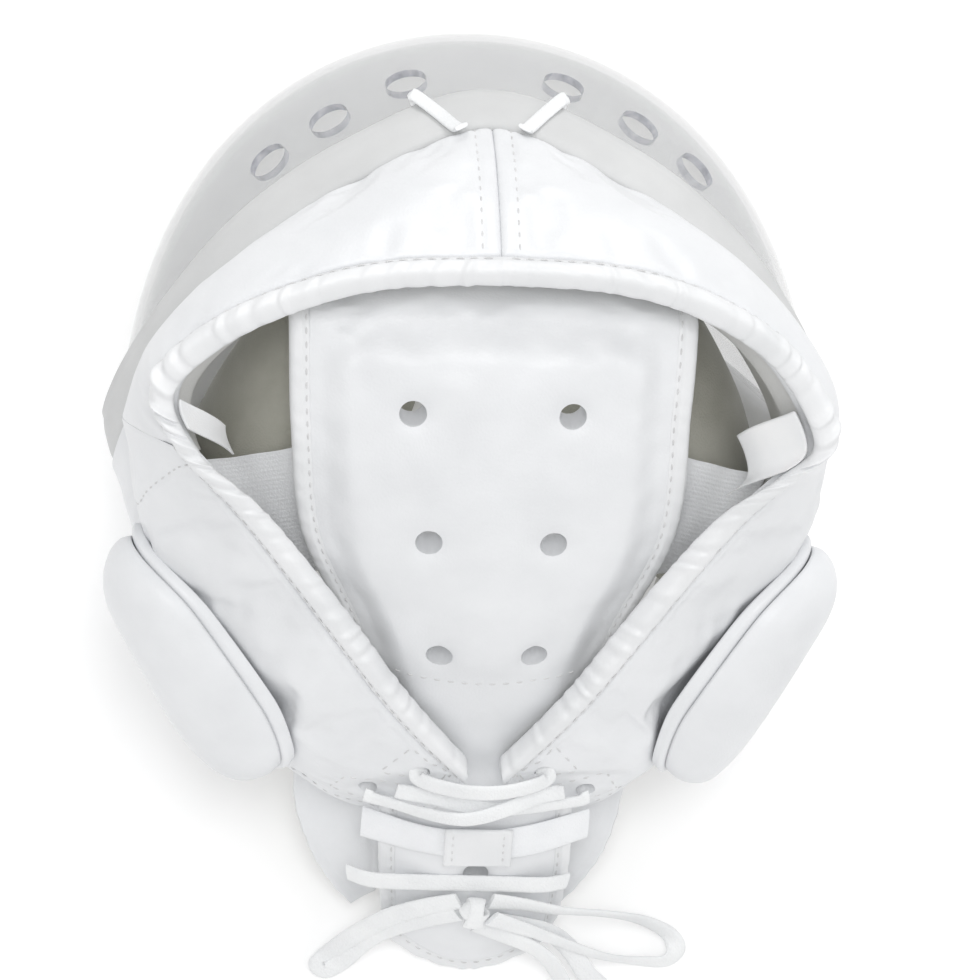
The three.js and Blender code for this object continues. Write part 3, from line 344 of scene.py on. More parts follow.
def curve_spans(points, at):
    """The points with one more at each end, and the span and the share in it of each place."""
    last = len(points) - 1
    line = np.concatenate([2 * points[:1] - points[1:2], points, 2 * points[-1:] - points[-2:-1]])
    position = np.clip(at, 0, 1) * last
    index = np.minimum(position.astype(int), last - 1)
    return line, index, position - index


def curve_between(p0, p1, p2, p3, w):
    """Catmull-Rom span from p1 to p2, read at shares of it."""
    t0 = (p2 - p0) / 2
    t1 = (p3 - p1) / 2
    return p1 + t0 * w + (3 * (p2 - p1) - 2 * t0 - t1) * w**2 + (2 * (p1 - p2) + t0 + t1) * w**3


def catmull(points, at):
    """Catmull-Rom curve through points along the first axis, read at shares of their count."""
    points = np.asarray(points, float)
    line, index, share = curve_spans(points, np.asarray(at, float))
    share = share.reshape(share.shape + (1,) * (points.ndim - 1))
    return curve_between(*(line[index + k] for k in range(4)), share)


def frame_table(column, at):
    """Smooth reading of one column of FRAME_TURNS."""
    x = FRAME_TURNS[:, 0]
    y = FRAME_TURNS[:, column]
    slope = np.zeros_like(y)
    slope[1:-1] = (y[2:] - y[:-2]) / (x[2:] - x[:-2])
    i = np.clip(np.searchsorted(x, at, side="right") - 1, 0, len(x) - 2)
    span = x[i + 1] - x[i]
    t = (at - x[i]) / span
    return (
        y[i] * (2 * t**3 - 3 * t**2 + 1) + slope[i] * span * (t**3 - 2 * t**2 + t)
        + y[i + 1] * (3 * t**2 - 2 * t**3) + slope[i + 1] * span * (t**3 - t**2)
    )


# Surfaces of the solids, read as finely as wanted

def folded_turn(around):
    turn = np.where(around < -180, around + 360, around)
    turn = np.where(turn > 90, 180 - turn, turn)
    return np.where(turn < -90, -180 - turn, turn)


def dome_outward(points):
    scaled = np.stack([
        points[..., 0] / SHIELD_HALF_WIDTH**2,
        (points[..., 1] + SHIELD_CENTRE_AHEAD) / SHIELD_REACH**2,
        (points[..., 2] - SHIELD_CENTRE_UP) / SHIELD_HALF_HEIGHT**2,
    ], axis=-1)
    return unit(scaled)


def dome_point(around, share, lift=0.0):
    around = np.asarray(around, float)
    turn = folded_turn(around)
    opening = np.radians(frame_table(1, turn)) * share
    scale = 1 + frame_table(2, turn) * share**6
    angle = np.radians(around)
    points = np.stack([
        SHIELD_HALF_WIDTH * scale * np.sin(opening) * np.cos(angle),
        -(SHIELD_CENTRE_AHEAD + SHIELD_REACH * scale * np.cos(opening)),
        SHIELD_CENTRE_UP + SHIELD_HALF_HEIGHT * scale * np.sin(opening) * np.sin(angle),
    ], axis=-1)
    return points + dome_outward(points) * np.asarray(lift)[..., None]


def frame_station(around):
    """Centre, direction back from the opening and direction out of the dome."""
    around = np.asarray(around, float)
    centre = dome_point(around, 1.0)
    tangent = unit(dome_point(around - 1.5, 1.0) - dome_point(around + 1.5, 1.0))
    thick = dome_outward(centre)
    thick = unit(thick - tangent * (thick * tangent).sum(-1, keepdims=True))
    wide = dome_point(around, 1.04) - centre
    wide = wide - tangent * (wide * tangent).sum(-1, keepdims=True)
    wide = unit(wide - thick * (wide * thick).sum(-1, keepdims=True))
    return centre, wide, thick


def reach(share):
    return np.where(share < 0, share * NAPE_REACH, share * FACE_REACH)


def lean_at(ahead):
    return BACK_LEAN * np.maximum(LEAN_START - ahead, 0) / (1 + LEAN_START)


def shell_points(side, rows, leaning=1.0):
    rows = np.asarray(rows, float)
    across = side * rows[..., 0] * SHELL_HALF_WIDTH - leaning * lean_at(rows[..., 1])
    return np.stack([across, -reach(rows[..., 1]), rows[..., 2] * CROWN_HEIGHT], axis=-1)


def inward(points):
    up = np.where(points[..., 2] > CORE_UP, CORE_UP, mixed(CORE_UP, points[..., 2], CORE_FOLLOW))
    return unit(np.stack([-points[..., 0], -points[..., 1], up - points[..., 2]], axis=-1))


def crown_edge(side, at):
    return catmull(shell_points(side, CROWN_EDGES[side]), at)


def frame_back(side, around):
    around = np.asarray(around, float)
    centre, wide, thick = frame_station(around if side > 0 else -180 - around)
    return centre + wide * (FRAME_WIDTH / 2 + GAP) + thick * PAD_PROUD


def forehead_grid(side, us, vs):
    edge = crown_edge(side, us * TEMPLE_ROW / 10)
    foot = frame_back(side, 90 + (TEMPLE_TURN - 90) * us)
    top = edge + unit(foot - edge) * (BINDING_WIDTH + GAP)
    v = vs[None, :, None]
    points = top[:, None] + (foot - top)[:, None] * v
    bulge = 4 * FOREHEAD_BULGE * (1 + us[:, None, None]) * v * (1 - v)
    return points - inward(points) * bulge


def side_columns(side, vs):
    """The side pad's columns from front to back, each read at shares from crown to foot."""
    high = forehead_grid(side, np.array([1.0]), np.clip(2 * vs, 0, 1))[0]
    low = frame_back(side, TEMPLE_TURN + (JAW_TURN - TEMPLE_TURN) * np.clip(2 * vs - 1, 0, 1))
    columns = [np.where(vs[:, None] < 0.5, high, low)]
    for k, rows in enumerate(SIDE_COLUMNS):
        crown = crown_edge(side, np.array([(TEMPLE_ROW + k + 1) / 10]))[0]
        below = shell_points(side, rows, COLUMN_LEANS[k])
        top = crown + unit(below[0] - crown) * (BINDING_WIDTH + GAP)
        columns.append(catmull(np.vstack([top[None], below]), vs))
    return np.stack(columns)


def side_grid(side, us, vs):
    return catmull(side_columns(side, vs), us)


def side_at(side, u, v):
    """Points of the side pad's outer face at scattered places."""
    line, index, share = curve_spans(side_columns(side, v.ravel()), u.ravel())
    pick = np.arange(u.size)
    points = curve_between(*(line[index + k, pick] for k in range(4)), share[:, None])
    return points.reshape(*u.shape, 3)


def side_point(side, u, v):
    return side_grid(side, np.array([u]), np.array([v]))[0, 0]


def pad_depth(*shares):
    nearest = np.minimum.reduce(np.broadcast_arrays(*shares))
    return PAD_EDGE_THICKNESS + (PAD_THICKNESS - PAD_EDGE_THICKNESS) * smooth_step(nearest / EDGE_EASE)


def tongue_row(t):
    """Half width, middle point and outward normal of the crown pad's rows."""
    rows = np.asarray(TONGUE_ROWS, float)
    edge = np.stack([rows[:, 2] * TONGUE_HALF_WIDTH, -reach(rows[:, 0]), rows[:, 1] * CROWN_HEIGHT], axis=-1)
    t = np.asarray(t, float)
    nearby = 0.1 / (len(rows) - 1)
    point = catmull(edge, t)
    slope = catmull(edge, np.minimum(t + nearby, 1)) - catmull(edge, np.maximum(t - nearby, 0))
    normal = unit(np.stack([np.zeros_like(t), -slope[..., 2], slope[..., 1]], axis=-1))
    ahead = -point[..., 1] / np.where(point[..., 1] > 0, NAPE_REACH, FACE_REACH)
    middle = np.stack([-lean_at(ahead), point[..., 1], point[..., 2]], axis=-1)
    return point[..., 0], middle, normal


def tongue_sag(along):
    share = smooth_step((np.asarray(along, float) - TONGUE_SAG_START) / TONGUE_SAG_RUN)
    return mixed(TONGUE_SAG_CROWN, TONGUE_SAG_NAPE, share)


def tongue_points(along, c, lift=0.0):
    along, c, lift = np.broadcast_arrays(np.asarray(along, float), np.asarray(c, float), lift)
    row_half, middle, normal = tongue_row(along * (1 - TONGUE_FOOT_ROUND * c * c * along**8))
    half = row_half - TONGUE_BINDING_WIDTH - GAP
    points = middle.copy()
    points[..., 0] += c * half
    return points + normal * (lift - tongue_sag(along) * row_half * c * c)[..., None]


# Fields on grids of points

def normals_of(grid):
    down = np.gradient(grid, axis=1)
    along = np.gradient(grid, axis=0)
    return unit(np.cross(along, down))


def lengths_along(grid, axis):
    """Distance run from the grid's first row, along one axis."""
    steps = np.linalg.norm(np.diff(grid, axis=axis), axis=-1)
    total = np.cumsum(steps, axis=axis)
    zero = np.zeros_like(np.take(total, [0], axis=axis))
    return np.concatenate([zero, total], axis=axis)


def edge_distances(grid):
    """How far each point lies from the first and last row and from the first and last column."""
    return (
        lengths_along(grid, 0), lengths_along(grid[::-1], 0)[::-1],
        lengths_along(grid, 1), lengths_along(grid[:, ::-1], 1)[:, ::-1],
    )


def grain(points, size, seed):
    """Smooth noise from -1 to 1 over points, with features of the given size."""
    flat = points.reshape(-1, 3) / size + seed * 17.3
    values = [noise.noise(Vector(p)) for p in flat]
    return np.array(values).reshape(points.shape[:-1])


# Mesh building

def add_object(name, data):
    thing = bpy.data.objects.new(name, data)
    bpy.context.scene.collection.objects.link(thing)
    return thing


def new_piece(name, points, faces, looks):
    """An object from points in millimetres of the plan frame."""
    mesh = bpy.data.meshes.new(name)
    moved = (np.asarray(points, float).reshape(-1, 3) + SHIFT) * MM
    mesh.from_pydata([tuple(p) for p in moved], [], faces)
    mesh.validate()
    mesh.update()
    piece = add_object(name, mesh)
    for look in looks:
        mesh.materials.append(look)
    mesh.polygons.foreach_set("use_smooth", [True] * len(mesh.polygons))
    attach(piece, ROOT)
    return piece


def edit_mesh(piece, change):
    work = bmesh.new()
    work.from_mesh(piece.data)
    change(work)
    work.to_mesh(piece.data)
    work.free()


def outward_faces(piece):
    edit_mesh(piece, lambda work: bmesh.ops.recalc_face_normals(work, faces=work.faces))


def drop_loose(piece):
    def drop(work):
        loose = [v for v in work.verts if not v.link_faces]
        bmesh.ops.delete(work, geom=loose, context="VERTS")
    edit_mesh(piece, drop)


def crease_by_angle(piece, degrees):
    """Smooth shading with sharp edges past an angle."""
    limit = math.radians(degrees)

    def crease(work):
        for face in work.faces:
            face.smooth = True
        for edge in work.edges:
            if len(edge.link_faces) == 2:
                edge.smooth = edge.calc_face_angle(0) < limit
    edit_mesh(piece, crease)


def grid_faces(rows, columns, start=0):
    faces = []
    for i in range(rows - 1):
        for j in range(columns - 1):
            a = start + i * columns + j
            faces.append((a, a + 1, a + columns + 1, a + columns))
    return faces


def rim_faces(rows, columns, high=0):
    """Faces between the rims of one grid, whose points start at high, and of the next."""
    edge = [*range(columns - 1)]
    edge += [i * columns + columns - 1 for i in range(rows - 1)]
    edge += [(rows - 1) * columns + j for j in range(columns - 1, 0, -1)]
    edge += [i * columns for i in range(rows - 1, 0, -1)]
    low = high + rows * columns
    return [(high + a, low + a, low + b, high + b) for a, b in zip(edge, edge[1:] + edge[:1])]


def polar_faces(rings, sectors):
    """Faces of two polar grids and of the rim between them. Their middles stay open."""
    low = rings * sectors
    last = low - sectors
    faces = []
    for s in range(sectors):
        n = (s + 1) % sectors
        for first in range(0, last, sectors):
            a, b = first + s, first + n
            faces.append((a, a + sectors, b + sectors, b))
            faces.append((low + a, low + b, low + b + sectors, low + a + sectors))
        faces.append((last + s, low + last + s, low + last + n, last + n))
    return faces


def between(skin, inner, shares):
    """Layers from the skin to the inner face, at shares of the way."""
    return [skin] + [mixed(skin, inner, share) for share in shares] + [inner]


def layered_sheet(name, layers, looks):
    """A closed body from like grids, outermost first. Its inner face takes the last look."""
    rows, columns = layers[0].shape[:2]
    count = rows * columns
    faces = grid_faces(rows, columns)
    inner_faces = len(faces)
    for k in range(len(layers) - 1):
        faces += rim_faces(rows, columns, k * count)
    marks = [0] * len(faces) + [len(looks) - 1] * inner_faces
    low = (len(layers) - 1) * count
    faces += [tuple(reversed(face)) for face in grid_faces(rows, columns, low)]
    points = np.concatenate([layer.reshape(-1, 3) for layer in layers])
    piece = new_piece(name, points, faces, looks)
    piece.data.polygons.foreach_set("material_index", marks)
    drop_loose(piece)
    outward_faces(piece)
    return piece


def swept(name, centres, wides, thicks, section, looks, loop=False, shape=None):
    """A section, as points across the width and the thickness, carried along stations."""
    stations = len(centres)
    sides = len(section)
    w = np.asarray(section, float)[:, 0][None, :]
    t = np.asarray(section, float)[:, 1][None, :]
    if shape is not None:
        w, t = shape(w + np.zeros((stations, 1)), t + np.zeros((stations, 1)))
    points = centres[:, None] + wides[:, None] * w[..., None] + thicks[:, None] * t[..., None]
    faces = []
    for i in range(stations if loop else stations - 1):
        n = (i + 1) % stations
        for k in range(sides):
            m = (k + 1) % sides
            faces.append((i * sides + k, i * sides + m, n * sides + m, n * sides + k))
    if not loop:
        faces.append(tuple(range(sides)))
        faces.append(tuple(reversed(range((stations - 1) * sides, stations * sides))))
    piece = new_piece(name, points, faces, looks)
    outward_faces(piece)
    if not loop:
        crease_by_angle(piece, 60)
    return piece


def rounded_section(w_low, w_high, t_low, t_high, squareness, count):
    """Closed section between two widths and two depths, from a square to an ellipse."""
    angle = np.linspace(0, 2 * np.pi, count, endpoint=False) + np.pi / count
    cosine, sine = np.cos(angle), np.sin(angle)
    length = (np.abs(cosine) ** squareness + np.abs(sine) ** squareness) ** (1 / squareness)
    w = (w_low + w_high) / 2 + (w_high - w_low) / 2 * cosine / length
    t = (t_low + t_high) / 2 + (t_high - t_low) / 2 * sine / length
    return np.stack([w, t], axis=-1)


def strand(name, points, facings, width, thickness, steps, looks, twist=None):
    """A flat band with rounded edges along points. Its thickness follows the facings."""
    at = np.linspace(0, 1, steps + 1)
    centre = catmull(points, at)
    tangent = unit(np.gradient(centre, axis=0))
    thick = catmull(facings, at)
    thick = unit(thick - tangent * (thick * tangent).sum(-1, keepdims=True))
    wide = np.cross(tangent, thick)
    if twist is not None:
        turn = twist(at)[:, None]
        thick, wide = thick * np.cos(turn) + wide * np.sin(turn), wide * np.cos(turn) - thick * np.sin(turn)
    section = rounded_section(-width / 2, width / 2, -thickness / 2, thickness / 2, 3.2, 16)
    return swept(name, centre, wide, thick, section, looks)


def stitch_row(points, outs, pitch=STITCH_PITCH, share=0.68, size=0.52, sides=6, rings=STITCH_RINGS):
    """Vertices and faces of a row of sewn stitches along a line on a surface."""
    run = lengths_along(points, 0)
    count = max(int(run[-1] / pitch), 1)
    vertices = []
    faces = []
    for n in range(count):
        start = (n + 0.5 - share / 2) * run[-1] / count
        end = (n + 0.5 + share / 2) * run[-1] / count
        at = np.linspace(start, end, rings)
        centre = np.stack([np.interp(at, run, points[:, k]) for k in range(3)], axis=-1)
        out = unit(np.stack([np.interp(at, run, outs[:, k]) for k in range(3)], axis=-1))
        tangent = unit(np.gradient(centre, axis=0))
        wide = np.cross(tangent, out)
        bow = np.sin(np.linspace(0, np.pi, rings))
        radius = size / 2 * (0.55 + 0.45 * bow)
        base = len(vertices)
        for r in range(rings):
            for s in range(sides):
                angle = 2 * np.pi * s / sides
                offset = wide[r] * np.cos(angle) + out[r] * np.sin(angle)
                lift = out[r] * (bow[r] * 0.55 - 0.42)
                vertices.append(centre[r] + offset * radius[r] + lift)
        for r in range(rings - 1):
            for s in range(sides):
                a = base + r * sides + s
                b = base + r * sides + (s + 1) % sides
                faces.append((a, b, b + sides, a + sides))
        faces.append(tuple(base + s for s in reversed(range(sides))))
        faces.append(tuple(base + (rings - 1) * sides + s for s in range(sides)))
    return vertices, faces


def stitches(name, rows, **kwargs):
    """One piece of all the stitch rows given as (points, outward directions)."""
    vertices = []
    faces = []
    for points, outs in rows:
        more, more_faces = stitch_row(points, outs, **kwargs)
        faces += [tuple(len(vertices) + v for v in face) for face in more_faces]
        vertices += more
    return new_piece(name, np.array(vertices), faces, [LOOKS["greyed_thread"]])


# Materials

def shader(name):
    look = bpy.data.materials.new(name)
    look.use_nodes = True
    return look, look.node_tree.nodes, look.node_tree.links, look.node_tree.nodes["Principled BSDF"]


def texture(nodes, links, kind, scale, **inputs):
    source = nodes.new("ShaderNodeTexCoord")
    node = nodes.new(kind)
    links.new(source.outputs["Object"], node.inputs["Vector"])
    node.inputs["Scale"].default_value = scale
    for key, value in inputs.items():
        node.inputs[key].default_value = value
    return node


def ramp(nodes, links, factor, low, high):
    node = nodes.new("ShaderNodeValToRGB")
    for element, position, colour in zip(node.color_ramp.elements, (0.3, 0.7), (low, high)):
        element.position = position
        element.color = (*colour, 1)
    links.new(factor, node.inputs["Fac"])
    return node.outputs["Color"]


def ranged(nodes, links, value, low, high):
    node = nodes.new("ShaderNodeMapRange")
    node.inputs["To Min"].default_value = low
    node.inputs["To Max"].default_value = high
    links.new(value, node.inputs["Value"])
    return node.outputs["Result"]


def add_bump(nodes, links, height, strength, distance, under=None):
    node = nodes.new("ShaderNodeBump")
    node.inputs["Strength"].default_value = strength
    node.inputs["Distance"].default_value = distance
    links.new(height, node.inputs["Height"])
    if under is not None:
        links.new(under, node.inputs["Normal"])
    return node.outputs["Normal"]


def patched_colour(nodes, links, bsdf, scale, detail, low, high):
    patches = texture(nodes, links, "ShaderNodeTexNoise", scale, Detail=detail)
    links.new(ramp(nodes, links, patches.outputs["Fac"], low, high), bsdf.inputs["Base Color"])
    return patches.outputs["Fac"]


def patched_roughness(nodes, links, bsdf, scale, detail, low, high):
    patches = texture(nodes, links, "ShaderNodeTexNoise", scale, Detail=detail)
    links.new(ranged(nodes, links, patches.outputs["Fac"], low, high), bsdf.inputs["Roughness"])
    return patches.outputs["Fac"]


def leather_look(name, low, high, roughness, grain_scale=1150.0, grain_depth=0.00012):
    look, nodes, links, bsdf = shader(name)
    patched_colour(nodes, links, bsdf, 38.0, 4.0, low, high)
    patched_roughness(nodes, links, bsdf, 160.0, 3.0, *roughness)
    cells = texture(nodes, links, "ShaderNodeTexVoronoi", grain_scale)
    creases = texture(nodes, links, "ShaderNodeTexNoise", 95.0, Detail=5.0, Distortion=0.6)
    soft = add_bump(nodes, links, creases.outputs["Fac"], 0.25, 0.0003)
    relief = add_bump(nodes, links, cells.outputs["Distance"], 0.35, grain_depth, soft)
    links.new(relief, bsdf.inputs["Normal"])
    bsdf.inputs["Coat Weight"].default_value = 0.12
    bsdf.inputs["Coat Roughness"].default_value = 0.35
    bsdf.inputs["Specular IOR Level"].default_value = 0.45
    return look


def cloth_look(name, low, high, scale, depth):
    look, nodes, links, bsdf = shader(name)
    patched_colour(nodes, links, bsdf, 60.0, 3.0, low, high)
    patched_roughness(nodes, links, bsdf, scale * 0.6, 4.0, 0.75, 0.95)
    weave = texture(nodes, links, "ShaderNodeTexVoronoi", scale)
    links.new(add_bump(nodes, links, weave.outputs["Distance"], 0.6, depth), bsdf.inputs["Normal"])
    bsdf.inputs["Sheen Weight"].default_value = 0.25
    bsdf.inputs["Sheen Roughness"].default_value = 0.5
    return look


def foam_look():
    look, nodes, links, bsdf = shader("frame_foam")
    patched_colour(nodes, links, bsdf, 45.0, 5.0, (0.62, 0.625, 0.625), (0.68, 0.685, 0.685))
    pores = patched_roughness(nodes, links, bsdf, 900.0, 3.0, 0.55, 0.8)
    links.new(add_bump(nodes, links, pores, 0.3, 0.0002), bsdf.inputs["Normal"])
    return look


def shield_look():
    look, nodes, links, bsdf = shader("clear_shield")
    # The grey base colour is partly the sheet's own colouring and partly painted reflection.
    patched_colour(nodes, links, bsdf, 20.0, 2.0, (0.52, 0.53, 0.54), (0.58, 0.59, 0.6))
    patched_roughness(nodes, links, bsdf, 300.0, 4.0, 0.04, 0.12)
    # The facing weight makes the grey more opaque at grazing angles: a painted dark reflection along the
    # edges that turn away.
    facing = nodes.new("ShaderNodeLayerWeight")
    facing.inputs["Blend"].default_value = 0.42
    links.new(ranged(nodes, links, facing.outputs["Facing"], 0.05, 0.52), bsdf.inputs["Alpha"])
    bsdf.inputs["IOR"].default_value = 1.58
    bsdf.inputs["Coat Weight"].default_value = 0.6
    bsdf.inputs["Coat Roughness"].default_value = 0.03
    return look


def vent_wall_shade_look():
    look, nodes, links, bsdf = shader("vent_wall_shade")
    # Dark bluish patches on the vents' cut walls are painted shade for the clear sheet's dark cut edge.
    shade_patches = patched_colour(nodes, links, bsdf, 260.0, 2.0, (0.24, 0.25, 0.31), (0.56, 0.57, 0.63))
    links.new(ranged(nodes, links, shade_patches, 0.08, 0.2), bsdf.inputs["Roughness"])
    bsdf.inputs["Alpha"].default_value = 0.6
    return look


LOOKS = {
    "leather": leather_look("white_leather", (0.765, 0.775, 0.79), (0.835, 0.845, 0.86), (0.34, 0.5)),
    "binding": leather_look("binding_leather", (0.765, 0.775, 0.785), (0.845, 0.85, 0.86), (0.36, 0.55),
                            900.0),
    # Greyer copy of the white leather for the pads' inner faces: painted shade for faces turned away from
    # the light.
    "inside": leather_look("inner_leather_painted_shade", (0.66, 0.66, 0.645), (0.74, 0.74, 0.725), (0.5, 0.65)),
    # The olive lining colour is partly the fabric's own and partly painted shade, darkened to the shade of
    # the hollow inside the shell.
    "lining": cloth_look("pad_lining", (0.40, 0.395, 0.34), (0.49, 0.485, 0.43), 1400.0, 0.00016),
    "webbing": cloth_look("elastic_webbing", (0.84, 0.85, 0.87), (0.91, 0.92, 0.935), 1500.0, 0.0002),
    "lace": cloth_look("flat_lace", (0.84, 0.85, 0.86), (0.91, 0.92, 0.925), 1250.0, 0.0003),
    # Stitches are coloured grey though white: painted shade of the indented stitch lines.
    "greyed_thread": cloth_look("sewing_thread", (0.62, 0.62, 0.62), (0.73, 0.73, 0.73), 2200.0, 0.0001),
    "label": cloth_look("blank_label", (0.86, 0.87, 0.88), (0.92, 0.92, 0.92), 1800.0, 0.00008),
    "foam": foam_look(),
    "shield": shield_look(),
    "vent_wall_shade": vent_wall_shade_look(),
}


# Camera first, then the lace

def make_camera():
    camera = add_object("camera", bpy.data.cameras.new("camera"))
    aim = Vector(SHIFT * MM) + Vector((0, 0, AIM_UP))
    eye = Vector(EYE_DIRECTION).normalized()
    right = Vector(IMAGE_RIGHT).normalized()
    up = eye.cross(right)
    turn = Matrix((right, up, eye)).transposed().to_4x4()
    camera.matrix_world = Matrix.Translation(aim + eye * EYE_DISTANCE) @ turn
    camera.data.lens = LENS
    camera.data.sensor_width = SENSOR
    camera.data.shift_x = (IMAGE_SIZE / 2 - TARGET_PIXEL[0]) / IMAGE_SIZE
    camera.data.shift_y = (TARGET_PIXEL[1] - IMAGE_SIZE / 2) / IMAGE_SIZE
    bpy.context.scene.camera = camera


make_camera()


def make_lace():
    twists = {
        "bow_loop_left": lambda t: 0.35 * np.sin(2 * np.pi * t) * (1 - t),
        "bow_loop_right": lambda t: 0.5 * np.sin(2 * np.pi * t),
        "bow_tail_long": lambda t: 0.5 * t,
        "bow_tail_short": lambda t: -0.35 * t,
    }
    for name, route in LACE_ROUTES.items():
        points = np.array([place(*row) for row in route])
        facings = np.tile(LACE_FACING, (len(points), 1))
        piece = strand(name + "_lace", points, facings, LACE_WIDTH, LACE_THICKNESS,
                       LACE_STEPS * len(points), [LOOKS["lace"]], twists.get(name))
        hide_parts(name)


make_lace()


def make_knot():
    """Two wraps of the flat lace round the crossing of the bow."""
    middle = place(*KNOT_PLACE)
    facing = unit(np.array(LACE_FACING, float))
    across = np.array([1.0, 0, 0])
    up = np.cross(facing, across)
    angle = np.linspace(0, 2 * np.pi, 33)[:-1]
    for k, (tilt, offset, tall, deep) in enumerate([(0.12, 0.0, 5.1, 3.0), (-0.9, -0.6, 3.6, 3.3)]):
        along = up * math.cos(tilt) + across * math.sin(tilt)
        wide = unit(np.cross(facing, along))
        centres = middle + np.outer(np.cos(angle) * tall, along)
        centres += np.outer(np.sin(angle) * deep + offset, facing)
        thick = unit(np.outer(np.cos(angle) / tall, along) + np.outer(np.sin(angle) / deep, facing))
        wides = np.tile(wide, (len(angle), 1))
        squeeze = 5.2 + 0.8 * np.sin(angle * 2 + k)
        section = rounded_section(-0.5, 0.5, -0.75, 0.75, 3.0, 14)
        piece = swept(f"bow_knot_wrap_{k + 1}", centres, wides, thick, section, [LOOKS["lace"]],
                      loop=True, shape=lambda w, t: (w * squeeze[:, None], t))
        if k == 0:
            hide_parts("bow_knot")


make_knot()


# Shield and frame

def cut_with(piece, cutters):
    """Cuts round holes: each cutter is a centre, direction, diameter and length."""
    bits = bmesh.new()
    for centre, direction, diameter, length in cutters:
        place_at = Matrix.Translation(Vector((centre + SHIFT) * MM))
        turn = Vector(direction).to_track_quat("Z", "Y").to_matrix().to_4x4()
        bmesh.ops.create_cone(bits, cap_ends=True, segments=40, radius1=diameter / 2 * MM,
                              radius2=diameter / 2 * MM, depth=length * MM, matrix=place_at @ turn)
    mesh = bpy.data.meshes.new("bits")
    bits.to_mesh(mesh)
    bits.free()
    cutter = add_object("bits", mesh)
    cut = piece.modifiers.new("holes", "BOOLEAN")
    cut.operation = "DIFFERENCE"
    cut.solver = "EXACT"
    cut.object = cutter
    bake_modifiers(piece)
    bpy.data.objects.remove(cutter)
    bpy.data.meshes.remove(mesh)


def bake_modifiers(piece):
    graph = bpy.context.evaluated_depsgraph_get()
    graph.update()
    mesh = bpy.data.meshes.new_from_object(piece.evaluated_get(graph))
    old = piece.data
    piece.modifiers.clear()
    piece.data = mesh
    bpy.data.meshes.remove(old)


def make_shield():
    rings, sectors = 36, 144
    share, around = np.broadcast_arrays(
        np.linspace(0.02, 1, rings)[:, None], 90 - np.linspace(0, 360, sectors, endpoint=False))
    lifts = (0.0, -SHIELD_THICKNESS)
    grids = [dome_point(around, share, lift + 0 * share).reshape(-1, 3) for lift in lifts]
    tips = [dome_point(np.array(90.0), 0.0, lift) for lift in lifts]
    faces = polar_faces(rings, sectors)
    low = rings * sectors
    for s in range(sectors):
        n = (s + 1) % sectors
        faces += [(2 * low, s, n), (2 * low + 1, low + n, low + s)]
    piece = new_piece("clear_shield", np.concatenate([*grids, tips]), faces, [LOOKS["shield"]])
    outward_faces(piece)
    cutters = []
    for turn in VENT_TURNS:
        for around in (turn, 180 - turn, -turn, turn - 180):
            opening = math.radians(float(frame_table(1, folded_turn(np.array(float(around))))))
            share = 1 - VENT_INSET / (opening * SHIELD_REACH)
            centre = dome_point(np.array(float(around)), share)
            cutters.append((centre, dome_outward(centre), VENT_DIAMETER, 8 * SHIELD_THICKNESS))
    cut_with(piece, cutters)
    crease_by_angle(piece, 35)
    mark_vent_walls(piece, cutters)
    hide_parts("face_shield")


def mark_vent_walls(piece, cutters):
    """Gives the cut walls of the vents the material whose dark bluish colour is painted shade for the clear
    sheet's cut edge.
    """
    piece.data.materials.append(LOOKS["vent_wall_shade"])
    spots = [(Vector((centre + SHIFT) * MM), Vector(direction)) for centre, direction, _, _ in cutters]
    for face in piece.data.polygons:
        for spot, direction in spots:
            near = (face.center - spot).length < VENT_DIAMETER * MM
            if near and abs(face.normal.dot(direction)) < 0.5:
                face.material_index = 1


def make_frame():
    count = 240
    centre, wide, thick = frame_station(90 - np.linspace(0, 360, count, endpoint=False))
    half = FRAME_WIDTH / 2
    section = rounded_section(-half, half, FRAME_LIP - FRAME_DEPTH, FRAME_LIP, 4.5, 40)
    wander = grain(centre, 40, 3)[:, None]

    def shape(w, t):
        groove = bell(w + half - 4.2, 1.0) * (t > 0) * 0.7
        return w + 0.25 * wander * (w > 0), t - groove
    piece = swept("face_frame_moulding", centre, wide, thick, section, [LOOKS["foam"]], True, shape)
    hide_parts("face_frame")


make_shield()
make_frame()


# Cloth simulation of the padded panels

SIM_QUEUE = []


def queue_panel(name, kind, layers):
    """Adds a closed cushion between two coarse grids, held along its rim, to the simulation."""
    outer, inner = layers
    (rows, columns), pressure, cap, shrink = SIM_PANELS[kind]
    count = rows * columns
    faces = grid_faces(rows, columns)
    faces += [tuple(reversed(face)) for face in grid_faces(rows, columns, count)]
    faces += rim_faces(rows, columns)
    mesh = bpy.data.meshes.new("sim_" + name)
    points = np.concatenate([outer.reshape(-1, 3), inner.reshape(-1, 3)])
    mesh.from_pydata([tuple(p) for p in points * MM], [], faces)
    cushion = add_object("sim_" + name, mesh)
    outward_faces(cushion)
    held = cushion.vertex_groups.new(name="held")
    pins = [i * columns + j for i in range(rows) for j in range(columns)
            if i in (0, rows - 1) or j in (0, columns - 1)]
    pins += [count + k for k in range(count)]
    held.add(pins, 1.0, "REPLACE")
    cloth = cushion.modifiers.new("Cloth", "CLOTH")
    for key, value in CLOTH.items():
        setattr(cloth.settings, key, value)
    cloth.settings.shrink_min = shrink
    cloth.settings.use_pressure = True
    cloth.settings.uniform_pressure_force = pressure
    cloth.settings.vertex_group_mass = "held"
    cloth.settings.effector_weights.gravity = 0
    cloth.collision_settings.use_collision = False
    cloth.collision_settings.use_self_collision = False
    SIM_QUEUE.append((name, cushion, outer, cap))


